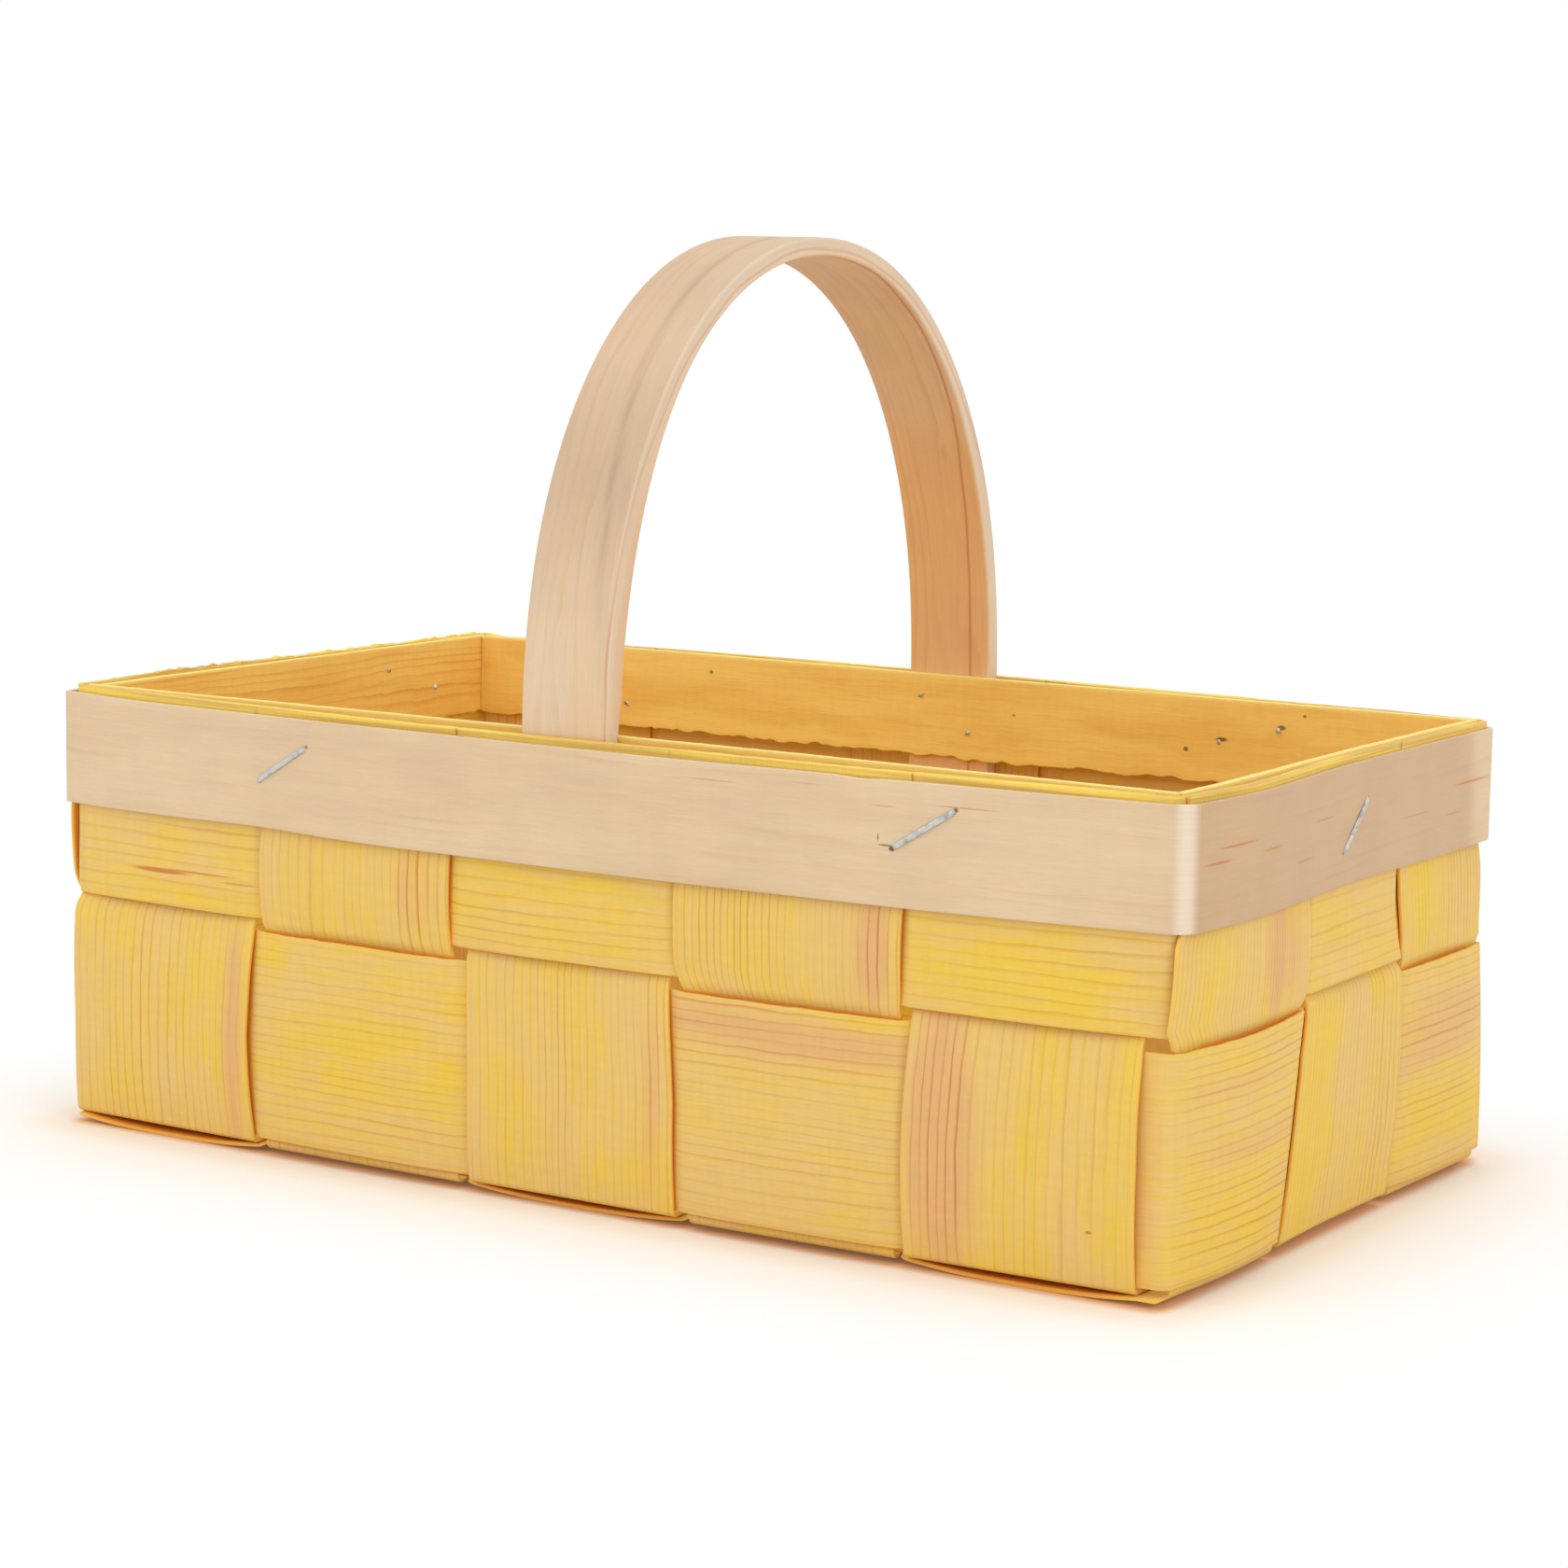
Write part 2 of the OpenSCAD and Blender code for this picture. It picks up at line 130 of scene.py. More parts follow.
# Sizes and colours

def length(name, text, default, low, high):
    """A length property, given in millimetres."""
    return FloatProperty(name=name, description=text, default=default * MM, min=low * MM, max=high * MM,
                         unit="LENGTH", subtype="DISTANCE", precision=5)


def colour(name, text, *rgb):
    """A colour property, given as screen values from 0 to 255."""
    return FloatVectorProperty(name=name, description=text, default=[linear(c) for c in rgb],
                               min=0, max=1, size=3, subtype="COLOR")


def linear(value):
    c = value / 255
    return c / 12.92 if c <= 0.04045 else ((c + 0.055) / 1.055) ** 2.4


class BasketSizes(bpy.types.PropertyGroup):
    splint_t: length("Splint thickness", "Thickness of a splint or hoop", 0.65, 0.4, 0.9)
    play: length("Play", "Space between splints that cross", 0.1, 0.02, 0.2)
    panel_bow: length("Panel bow", "How far a splint bulges where it passes outside", 1.0, 0, 1.6)
    floor_bow: length("Floor bow", "How far a splint hangs down under another one", 0.9, 0, 0.9)
    low_swell: length("Lower swell", "How far the long walls swell out at the lower hoop", 1.7, 0, 3)
    up_swell: length("Rim swell", "How far the long walls swell out under the band", 3.65, 3, 4.5)
    fold_r: length("Fold radius", "Radius of the fold between floor and wall", 0.9, 0.5, 1.5)
    board_t: length("Board thickness", "Thickness of the boards inside the rim", 1.1, 0.8, 1.6)
    band_t: length("Band thickness", "Thickness of the band round the rim", 0.9, 0.5, 1.2)
    handle_t: length("Handle thickness", "Thickness of the handle strip", 3.4, 2, 4)
    handle_w: length("Handle width", "Width of the handle strip", 16.3, 12, 20)
    wire_w: length("Wire width", "Width of the staples' flat wire", 0.9, 0.5, 1.4)
    wire_t: length("Wire thickness", "Thickness of the staples' flat wire", 0.5, 0.3, 0.7)


class BasketColours(bpy.types.PropertyGroup):
    pale_yellow: colour("Pale yellow", "Dyed splint where the dye took weakly", 233, 195, 117)
    deep_yellow: colour("Deep yellow", "Dyed splint where the dye took strongly", 238, 199, 72)
    pinkish: colour("Pinkish tan", "Dyed heartwood", 228, 178, 116)
    ring_brown: colour("Ring brown", "Dark growth lines of the splints", 212, 136, 40)
    ring_red: colour("Ring red", "Dark growth lines in the heartwood", 203, 120, 64)
    cut: colour("Cut edge", "Cut edges of the splints", 242, 196, 84)
    rim_lemon: colour("Rim lemon", "Bright fibres of the weave's top edges", 246, 214, 92)
    rim_tan: colour("Rim tan", "Dull fibres of the weave's top edges", 218, 176, 92)
    # Painted shade: orange for faces covered by a crossing splint, standing in for the warm shade in the
    # weave's gaps
    deep_orange: colour("Deep orange", "Painted orange shade on faces hidden under other splints", 240, 158, 50)
    board: colour("Board yellow", "Boards inside the rim", 255, 214, 112)
    board_edge: colour("Board edge", "Top edges of the boards", 250, 224, 130)
    band: colour("Band", "Undyed band", 227, 201, 163)
    # Darker band colour over the band's right wall, where the piece says so
    band_dark: colour("Band darker right wall", "Darker end of the band", 208, 174, 136)
    # Painted shade: grey that darkens the handle's outer face, also used for a darker stripe of the wood
    # along it
    aged: colour("Aged wood", "Painted grey shade on the handle's outer face", 186, 158, 130)
    speck: colour("Specks", "Dark specks on the boards", 89, 63, 39)
    # Painted highlight: pale colour down the band's rounded front right corner, also used for a pale strip
    # along one edge of the handle
    worn: colour("Worn corner", "Painted highlight at the band's corner", 244, 228, 206)
    handle: colour("Handle", "Outer face of the handle", 229, 203, 170)
    handle_in: colour("Handle inside", "Inner face of the handle", 238, 190, 131)
    hole: colour("Holes", "Dark edges of cracks and holes", 92, 58, 34)
    wire: colour("Wire", "Galvanised wire", 206, 206, 204)
    floor: colour("Floor", "Studio floor", 240, 238, 236)


# Shape of the weave

def clamp(v, low=0.0, high=1.0):
    return max(low, min(high, v))


def ease(s):
    s = clamp(s)
    return s * s * (3 - 2 * s)


def bell(x, middle, width):
    return math.exp(-((x - middle) / width) ** 2)


def bulge(s):
    """A bow with a flat middle and steep ends."""
    return 1 - abs(2 * clamp(s) - 1) ** 2.6


def low_bulge(z):
    """The bow of what passes outside the lower hoop, or of the hoop, at a height."""
    return bulge((z - LOW_Z[0]) / (LOW_Z[1] - LOW_Z[0]))


def spread(a, b, n):
    return [a + (b - a) * k / n for k in range(n + 1)]


def mix(a, b, s):
    return a + (b - a) * s


def table(rows, z):
    """The two numbers of a table at a height."""
    if z <= rows[0][0]:
        return rows[0][1:]
    for low, high in zip(rows, rows[1:]):
        if z <= high[0]:
            s = (z - low[0]) / (high[0] - low[0])
            return mix(low[1], high[1], s), mix(low[2], high[2], s)
    return rows[-1][1:]


def stakes(wall):
    """The two edges of each splint that stands in a wall, as the CAD has them."""
    return LONG if wall % 2 else CROSS


def last_stake(wall):
    return len(stakes(wall)) - 1


def edges_at(wall, m, z):
    """A splint's two edges on a wall, along x on a long wall and along y on an end wall."""
    rows = EDGES[wall][m] if wall in EDGES else None
    return table(rows, z) if rows else stakes(wall)[m]


def edges_between(wall, opposite, m, share, z):
    """A splint's edges on its way from the opposite wall, at share 0, to the wall, at share 1.
    Behind the band the splints are wider, so that no gap shows between them from above."""
    hidden_z, rise = 64, 6
    near, far = edges_at(wall, m, z), edges_at(opposite, m, z)
    spare = ease((z - hidden_z) / rise)
    low, high = [spare if inner else 0 for inner in (m > 0, m < last_stake(wall))]
    return mix(far[0], near[0], share) - low, mix(far[1], near[1], share) + high


def crossed(wall, opposite, share):
    """Where a floor splint meets the ones that cross it, at a share of the way between two walls."""
    limits = stakes(wall)
    spans = [edges_between(wall, opposite, m, share, LOW_Z[0]) for m in range(len(limits))]
    return [(max(a, limits[0][0]), min(b, limits[-1][1])) for a, b in spans]


def wobble(seed, x, y):
    """Soft repeatable noise between about -1 and 1. Seeds lie a few steps of the noise apart."""
    seed_step = 7.31
    return noise.noise(Vector((x, y, seed * seed_step)))


class Weave:
    """Where the walls' middle surfaces and the pieces' middle lines run. A point of a line has
    its two places and a level: 1 where the strip passes outside another one, -1 where hidden."""

    def __init__(self, size):
        self.t, self.play, self.fold_r = size.splint_t / MM, size.play / MM, size.fold_r / MM
        self.panel_bow, self.floor_bow = size.panel_bow / MM, size.floor_bow / MM
        self.low_swell, self.up_swell = size.low_swell / MM, size.up_swell / MM
        self.layer = (self.t + self.play) / 2
        self.band_in = self.layer + self.t / 2 + self.play

    def rim_thick(self, p):
        """Thickness of a splint at a point of its middle line, swollen where the rim squeezes it."""
        swollen_from, rise = 66, 8
        return self.t + self.play * 0.8 * ease((p.y - swollen_from) / rise)

    def out(self, wall, u, z):
        """Distance of a wall's middle surface from the basket's middle."""
        s = ease((z - TURN_Z[0]) / (TURN_Z[1] - TURN_Z[0]))
        if wall % 2:
            return mix(LOW_X, UP_X, s)
        return mix(LOW_Y, UP_Y, s) + mix(self.low_swell, self.up_swell, s) * (1 - (u / UP_X) ** 2)

    def wall_offset(self, side, z):
        """How far a splint stands off the middle surface. Side is 1 outside the lower hoop."""
        high = (z - UP_Z[0]) / (BAND_Z[0] - UP_Z[0])
        if z <= LOW_Z[1]:
            return side * self.layer + max(side, 0) * self.panel_bow * low_bulge(z)
        if high >= 0:
            return -side * self.layer + max(-side, 0) * self.panel_bow * 0.5 * bulge(high)
        return side * self.layer * (1 - 2 * ease((z - LOW_Z[1]) / (UP_Z[0] - LOW_Z[1])))

    def splint_line(self, side, spans, wall_out):
        """Middle line of a splint from the top of one wall, through the floor, to the other."""
        heights = spread(*LOW_Z, 26) + spread(LOW_Z[1], UP_Z[0], 6)[1:] + spread(*UP_Z, 26)[1:]
        offsets = [self.wall_offset(side, z) for z in heights]
        wall = [(wall_out(z) + o, z, clamp(o / self.layer, -1, 1)) for o, z in zip(offsets, heights)]
        middle = FLOOR_MID + side * self.layer + self.fold_r
        far = wall[0][0] - self.fold_r
        fold = [(far + self.fold_r * math.sin(a), middle - self.fold_r * math.cos(a), 0)
                for a in spread(0, math.pi / 2, 7)]
        wall = [p for p in fold if p[1] < LOW_Z[0] - 0.02] + wall
        floor = []
        for m, (a, b) in enumerate(spans):
            over = side == (1 if m % 2 == 0 else -1)
            drop = 0 if over else self.floor_bow
            level = FLOOR_MID + (self.layer if over else -self.layer)
            here = [(u, level - drop * bulge((u - a) / (b - a)), -1 if over else 1) for u in spread(a, b, 14)]
            if floor:
                floor += self.step(floor[-1], here[0], 4)
            floor += here
        return [(-y, *rest) for y, *rest in reversed(wall)] + floor + wall

    # Hoops, in plan. Each wall's points are given along it and out from its middle surface.

    def spans_of(self, wall, z):
        spans = [edges_at(wall, m, z) for m in range(len(stakes(wall)))]
        return [(-b, -a) for a, b in reversed(spans)] if wall >= BACK else spans

    def at_splint(self, wall, m, low, z):
        """A hoop's points where it passes one splint."""
        far = self.out(wall + 1, UP_X, z) - HOOP_R - self.layer
        a, b = [clamp(u, -far, far) for u in self.spans_of(wall, z)[m]]
        near_band = BAND_Z[0] + 1 - z
        tall = low_bulge(z) if low else 0.5 * ease(near_band / 12)
        inner = (m > 0, m < last_stake(wall))
        if low != ((m + wall) % 2 == 1):
            bow = 0.75 * self.panel_bow * tall
            flat = [1 if inner[s > 0] and s else 1 - abs(s) ** 12 for s in spread(-1, 1, 22)]
            return [(u, bow * f - self.layer, -1) for u, f in zip(spread(a, b, 22), flat)]
        bow = self.panel_bow * (mix(0.55, 1, tall) if low else 0.8 * ease(near_band / 14))
        ends = [0.6 * tall if held else 0 for held in inner]
        shares = [(u, (u - a) / (b - a)) for u in spread(a, b, 22)]
        return [(u, self.layer + bow * mix(mix(*ends, s), 1, bulge(s)), 1) for u, s in shares]

    def along(self, wall, m0, m1, low, z):
        line = []
        for m in range(m0, m1 + 1):
            here = self.at_splint(wall, m, low, z)
            if line:
                line += self.step(line[-1], here[0])
            line += here
        return line

    def step(self, p, q, n=6):
        """The points of a soft step between two points."""
        shares = [k / n for k in range(1, n)]
        return [(mix(p[0], q[0], s), mix(p[1], q[1], ease(s)), mix(p[2], q[2], s)) for s in shares]

    def placed(self, wall, line, z):
        """Turns a wall's points into places in plan."""
        spots = []
        for u, o, level in line:
            x, y = u, -(self.out(wall, min(abs(u), UP_X), z) + o)
            for _ in range(wall):
                x, y = -y, x
            spots.append((x, y, level))
        return spots

    def round_walls(self, walls, radii, z, edge=None, skip=0):
        """Joins the back, left, front, right and again back wall's points by corners. Edge is how
        far out the corners lie, where that isn't as far as the walls' own ends. Skip is the
        number of points to leave out where two stretches meet."""
        line = self.placed(BACK, walls[0], z)
        for wall, here, after in zip((BACK, LEFT, FRONT, RIGHT), walls, walls[1:]):
            r = radii[wall]
            o, o_next = (here[-1][1], after[0][1]) if edge is None else (edge, edge)
            u, o = self.out(wall + 1, UP_X, z) + o_next - r, o - r
            corner = [(u + r * math.sin(a), o + r * math.cos(a), 0) for a in spread(0, math.pi / 2, 9)]
            line += self.placed(wall, corner, z)[skip:] + self.placed((wall + 1) % 4, after, z)[skip:]
        return line

    def hoop_line(self, low, z):
        """A hoop's middle line. It starts behind a back splint and ends there, on its own start."""
        m = 2 if low else 1
        a, b = self.spans_of(BACK, z)[m]
        first = [(u, -self.layer, -1) for u in spread(a + LAP_IN, b, 16)]
        lap = [(u, -3 * self.layer, -1) for u in spread(a, b - LAP_IN, 16)]
        rest = self.along(BACK, m + 1, 4, low, z)
        back_end = self.along(BACK, 0, m - 1, low, z)
        walls = [self.along(w, 0, last_stake(w), low, z) for w in (LEFT, FRONT, RIGHT)]
        walls = [first + self.step(first[-1], rest[0]) + rest, *walls,
                 back_end + self.step(back_end[-1], lap[0]) + lap]
        return self.round_walls(walls, [HOOP_R] * 4, z)


# Small sags of the real basket

def settle(p, band=False, board=False):
    """The small lean and swell of the real basket, added to every point of a piece."""
    x, y, z = p
    left = ease((-x - 40) / 64) * ease((20 - y) / 76)
    far = ease((x - 20) / 84) * ease((y + 20) / 76) * ease((50 - z) / 40)
    push = 1.4 if band else 0.9 * ease((z - 36) / 8)
    wide = 16 if y < -36 and not band else 24
    swell = bell(y, -36, wide) * ease((x - 97) / 7) * mix(1.4, 2.3, ease(z / 32))
    if board:
        return Vector((x + swell * 0.45, y, z))
    lift = 0.0
    if z > 60 and not band:
        rough = ease((-x - 99) / 3) * ease((y + 52) / 20) * (0.25 + 0.9 * abs(wobble(61, y / 1.7, z / 20)))
        lift = (z - 60) / 14.7 * (0.32 + 0.3 * left + rough)
    if not band:
        swell -= 0.8 * ease((y - 32) / 18) * ease((z - 38) / 4) * ease((60 - z) / 5) * ease((x - 97) / 5)
    return Vector((x - push * left + 1.3 * far + swell, y, z + lift))


# Strips of wood

def rounded_rows(width, radius, step):
    """Places across a strip, closer together where its edges are rounded."""
    edge = [0, 0.12 * radius, 0.45 * radius, radius]
    n = max(2, round((width - 2 * radius) / step))
    inner = spread(radius, width - radius, n)[1:-1]
    return edge + inner + [width - d for d in reversed(edge)]


def round_ends(line, radius):
    """Adds the points at both ends of a line that its rounded ends need."""
    line = [Vector(p[:2]) for p in line]
    for _ in range(2):
        way = (line[1] - line[0]).normalized()
        line[1:1] = [line[0] + way * (radius * s) for s in (0.12, 0.45, 1)]
        line.reverse()
    return line


def strip_of_wood(lines, across, place, thick_of, radius):
    """A bent strip. Its middle line at each place across it is one of lines, thick_of gives its
    thickness at a point of a line, and place turns a point of a line, the number of a place
    across and the run along the strip into a point in space."""
    levels = [[p[2] if len(p) > 2 else 1 for p in line] for line in lines]
    levels = [[row[0]] * 3 + row + [row[-1]] * 3 for row in levels]
    lines = [round_ends(line, radius) for line in lines]
    n_along, n_across = len(lines[0]), len(across)
    middle = lines[n_across // 2]
    run = [0.0]
    for p, q in zip(middle, middle[1:]):
        run.append(run[-1] + (q - p).length)
    bm = bmesh.new()
    bmesh.ops.create_grid(bm, x_segments=n_along - 1, y_segments=n_across - 1, size=1)
    col, row, face_in = [bm.verts.layers.int.new(n) for n in ("col", "row", "face_in")]
    for v in bm.verts:
        v[col] = round((v.co.x + 1) / 2 * (n_along - 1))
        v[row] = round((v.co.y + 1) / 2 * (n_across - 1))
    made = bmesh.ops.extrude_face_region(bm, geom=bm.faces[:], use_keep_orig=True)
    for v in made["geom"]:
        if isinstance(v, bmesh.types.BMVert):
            v[face_in] = 1
    far, depth, under = [bm.verts.layers.float.new(n) for n in ("far", "depth", "under")]
    # Past these places, at the right end's corners, hidden faces are open to view and get no painted shade
    open_x, open_y, fade = 100.5, 50, 1.5
    for v in bm.verts:
        i, j = v[col], v[row]
        line = lines[j]
        way = (line[min(i + 1, n_along - 1)] - line[max(i - 1, 0)]).normalized()
        thick = thick_of(line[i])
        outward = Vector((way.y, -way.x))
        edge = min(across[j] - across[0], across[-1] - across[j], run[i], run[-1] - run[i], radius)
        half = thick / 2 - radius + math.sqrt(max(radius ** 2 - (radius - edge) ** 2, 0))
        face = -1 if v[face_in] else 1
        v[far], v[depth] = run[i], thick / 2 - face * half
        # Under is the share of painted orange shade: 1 on a face that a crossing splint covers
        v[under] = clamp((-face * levels[j][i] - 0.55) / 0.45)
        v.co = place(line[i] + outward * (face * half), j, run[i])
        if abs(v.co.y) > open_y and v.co.x > 0:
            v[under] *= ease((open_x - v.co.x) / fade)
    # The three long splints come out of this with their faces pointing inwards
    bmesh.ops.recalc_face_normals(bm, faces=bm.faces)
    return bm


def finish_strip(name, node, bm, across, finish, numbers):
    """Gives a strip its map of the grain and the numbers that its material reads. Each number is
    worked out from the place along, the place across, the depth and the position."""
    far, depth = [bm.verts.layers.float[n] for n in ("far", "depth")]
    row = bm.verts.layers.int["row"]
    uv = bm.loops.layers.uv.new("Grain")
    for f in bm.faces:
        f.smooth = True
        for loop in f.loops:
            v = loop.vert
            loop[uv].uv = (v[far] + 0.6 * v[depth], across[v[row]] + v[depth])
    for label, value in numbers.items():
        layer = bm.verts.layers.float.new(label)
        for v in bm.verts:
            v[layer] = value(v[far], across[v[row]], v[depth], v.co)
    for label in ("far", "depth"):
        bm.verts.layers.float.remove(bm.verts.layers.float[label])
    for label in ("col", "row", "face_in"):
        bm.verts.layers.int.remove(bm.verts.layers.int[label])
    finish_mesh(name, node, bm, finish)


def finish_mesh(name, node, bm, finish):
    """Turns a mesh into an object that rides on the body root and stands for a node."""
    bmesh.ops.scale(bm, vec=(MM, MM, MM), verts=bm.verts)
    mesh = bpy.data.meshes.new(name)
    bm.to_mesh(mesh)
    bm.free()
    piece = bpy.data.objects.new(name, mesh)
    bpy.context.scene.collection.objects.link(piece)
    mesh.materials.append(material(finish))
    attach(piece, "root")
    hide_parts(node)


# Growth rings and dye

def ring_table(width, spacing, seed):
    """Number of growth lines passed at a place across a strip, with uneven spacing."""
    def rings(b):
        s = b / width
        slow = 0.35 * math.sin(6.1 * s + seed) + 0.2 * math.sin(13.7 * s + 2.3 * seed)
        return b / spacing + slow * 1.2 + seed * 3.7
    return rings


# Soft patches of tan, of dye and of dark lines on the stakes (V) and hoops (H) of a wall, as
# place along the wall, height, half width, half height and strength
MARKS = {
    ("tanV", FRONT): ((-28.6, 47.8, 5.2, 11.0, 1.0), (56.7, 47.7, 3.2, 9.1, 0.75),
                      (-67.1, 21.1, 2.6, 20.5, 0.7), (16.9, 19.7, 2.1, 19.1, 0.75),
                      (68.3, 20.2, 7.1, 21.0, 0.7)),
    ("tanH", FRONT): ((41.9, 35.0, 34.0, 9.0, 0.6), (101.0, 20.0, 5.0, 26.0, -0.8)),
    ("dyeH", FRONT): ((-58.5, 33.1, 2.8, 4.7, 0.5), (-36.5, 22.6, 16.0, 3.8, 0.5),
                      (-46.2, 15.9, 2.3, 2.3, 0.5), (-22.3, 19.0, 2.2, 2.3, 0.5),
                      (-1.5, 47.8, 19.3, 8.9, 0.4), (81.7, 45.0, 19.7, 8.2, 0.4),
                      (-77.9, 42.5, 3.7, 1.9, 0.6)),
    ("dyeV", FRONT): ((10.5, 7.7, 4.9, 4.2, 0.3),),
    ("lineH", FRONT): ((-38.4, 10.7, 20.8, 7.0, 0.5), (81.9, 40.2, 19.7, 3.0, 0.5)),
    ("lineV", FRONT): ((-3.6, 21.5, 6.3, 20.9, 0.5), (-88.0, 18.6, 4.6, 20.8, 0.5),
                       (31.5, 49.2, 8.0, 11.5, 0.5), (68.3, 20.2, 7.1, 21.0, 0.5),
                       (-29.6, 47.8, 5.6, 9.1, 0.5), (56.7, 47.7, 3.2, 9.1, 0.6)),
    ("tanH", RIGHT): ((-40, 28, 24, 12, 0.25), (38, 30, 22, 9, 0.4), (-57, 20, 4, 26, -0.8)),
    ("dyeH", RIGHT): ((-38, 11, 22, 9, 0.5), (38, 14, 22, 9, 0.5)),
    ("tanV", RIGHT): ((12, 20, 8, 22, 0.7), (46, 48, 9, 10, 0.5), (-26, 48, 8, 10, 0.6)),
    ("dyeV", RIGHT): ((-10, 18, 8, 22, 0.5), (28, 48, 5, 10, 0.6)),
    ("lineH", RIGHT): ((-30, 20, 30, 16, 0.4), (38, 20, 22, 16, 0.4)),
    ("lineV", RIGHT): ((0, 30, 60, 26, 0.3),),
}


def wall_at(p):
    """The wall that a point belongs to, and the place along it."""
    if abs(p.y) / LOW_Y > abs(p.x) / LOW_X:
        return (FRONT, p.x) if p.y < 0 else (BACK, -p.x)
    return (RIGHT, p.y) if p.x > 0 else (LEFT, -p.y)


def marked(kind, p):
    """How strongly the soft patches of one kind mark a point."""
    wall, u = wall_at(p)
    total, reach_out = 0.0, 1.35
    for middle, height, half_u, half_z, strength in MARKS.get((kind, wall), ()):
        d = math.hypot((u - middle) / half_u, (p.z - height) / half_z)
        total += strength * ease(reach_out - d)
    return total


def dyed_numbers(rings, width, seed, row):
    """The numbers that a dyed strip's material reads. Row is V for a stake and H for a hoop."""
    def edge(a, b, d, p):
        return min(b, width - b)

    def dye(a, b, d, p):
        soft = wobble(seed, a / 31, b / 13) + 0.5 * wobble(seed + 5, a / 9, b / 7)
        return clamp(0.42 + 0.4 * soft + 0.8 * marked("dye" + row, p))

    def tan(a, b, d, p):
        return clamp(0.9 * wobble(seed + 11, a / 160, b / 7.5) - 0.12 + marked("tan" + row, p))

    def line(a, b, d, p):
        soft = 0.45 * wobble(seed + 17, a / 55, b / 8)
        return clamp(0.5 + soft + marked("line" + row, p) + 0.6 * marked("tan" + row, p), 0.15, 1.5)

    return {"rings": lambda a, b, d, p: rings(b), "edge": edge, "dye": dye, "tan": tan, "line": line}


# Materials. Frayed is where the fibres of the weave's top edges begin and are full.
FRAYED_Z = (73.6, 74.2)


def spots(axis, place, deep, *rows):
    """Spots on a surface that lies across an axis at a place. Each row is the place along the
    wall, the height, the half length, the half height and the strength. Deep is the half depth."""
    made = []
    for u, z, half_u, half_z, strength in rows:
        middle, half = (place, u, z), (deep, half_u, half_z)
        if axis == 1:
            middle, half = (u, place, z), (half_u, deep, half_z)
        made.append((middle, half, strength))
    return made


BOARD_FLECKS = spots(
    1, 55, 4, (-68.1, 64.6, 0.45, 0.4, 0.8), (-48.8, 71.9, 0.5, 0.45, 0.7), (15.6, 68.9, 0.4, 0.3, 0.6),
    (49.7, 65.8, 0.55, 0.5, 0.8), (56.5, 68.0, 1.3, 0.45, 0.85), (67.7, 70.9, 1.0, 0.5, 0.8),
    (71.95, 73.2, 0.4, 0.35, 0.7))
BAND_FLECKS = [
    *spots(1, -61, 4, (28.2, 71.27, 5.5, 0.14, 0.45), (57.8, 69.92, 2.4, 0.12, 0.5),
           (44.5, 72.2, 3.0, 0.12, 0.3), (71.5, 70.7, 6.0, 0.16, 0.5)),
    *spots(0, 108, 4, (-44.0, 66.9, 6.5, 0.24, 0.7), (-50.0, 64.9, 4.5, 0.26, 0.75),
           (-33.0, 65.0, 4.0, 0.22, 0.55)),
    *spots(0, 107, 4, (-20.0, 61.5, 4.0, 0.2, 0.5), (-12.0, 66.7, 4.5, 0.2, 0.5)),
    *spots(0, 105.6, 4, (47.0, 66.0, 8.0, 0.3, 0.6), (40.0, 61.5, 3.5, 0.22, 0.5),
           (25.0, 63.0, 6.0, 0.2, 0.35)),
]
BAND_HOLES = [
    *spots(1, -61, 4, (57.04, 65.2, 0.16, 0.7, 0.7), (58.4, 64.1, 1.6, 0.17, 0.7),
           (59.4, 63.7, 0.6, 0.5, 0.9), (69.8, 70.3, 0.5, 0.45, 0.8), (-61.0, 63.0, 0.5, 0.4, 0.5),
           (-50.8, 69.5, 0.4, 0.4, 0.6)),
    *spots(0, 108, 4, (-3.9, 60.3, 0.5, 0.4, 0.5), (5.4, 68.1, 0.5, 0.4, 0.6)),
]
SPLINT_FLECKS = spots(
    1, -59, 5, (-84.0, 45.7, 7.5, 0.5, 0.9), (-76.0, 46.1, 10.0, 0.22, 0.7), (-66.5, 45.1, 4.5, 0.22, 0.6),
    (92.7, 10.3, 0.6, 0.3, 0.9))


def add(tree, kind, values=None, **settings):
    """Adds a node. Values are sockets' values, or other nodes' outputs to link to them."""
    made = tree.nodes.new(kind)
    for label, value in settings.items():
        setattr(made, label, value)
    for key, value in (values or {}).items():
        socket = made.inputs[key]
        if isinstance(value, bpy.types.NodeSocket):
            tree.links.new(value, socket)
        else:
            socket.default_value = value
    return made


def maths(tree, operation, *values, clamped=False):
    values = dict(enumerate(values))
    return add(tree, "ShaderNodeMath", values, operation=operation, use_clamp=clamped).outputs[0]


def times(tree, *values, clamped=False):
    return maths(tree, "MULTIPLY", *values, clamped=clamped)


def swing(tree, value, size, middle):
    """A value from 0 to 1 turned into one that swings by a size about a middle."""
    return maths(tree, "MULTIPLY_ADD", maths(tree, "SUBTRACT", value, 0.5), size, middle)


def ramp(tree, value, low, high, to_low=0.0, to_high=1.0):
    """Value from low to high, softly turned into to_low to to_high."""
    return add(tree, "ShaderNodeMapRange", {0: value, 1: low, 2: high, 3: to_low, 4: to_high},
               interpolation_type="SMOOTHSTEP").outputs[0]


def blend(tree, share, a, b, how="MIX"):
    """Two colours or outputs blended by a share."""
    a, b = [c if isinstance(c, bpy.types.NodeSocket) else (*c[:3], 1.0) for c in (a, b)]
    return add(tree, "ShaderNodeMix", {0: share, 6: a, 7: b}, data_type="RGBA", blend_type=how).outputs[2]


def tinted(colour, *tint):
    return [c * s for c, s in zip(colour, tint)]


def noise_at(tree, vector, detail=2.0, scale=1.0, **settings):
    values = {"Vector": vector, "Scale": scale, "Detail": detail}
    return add(tree, "ShaderNodeTexNoise", values, **settings).outputs["Fac"]


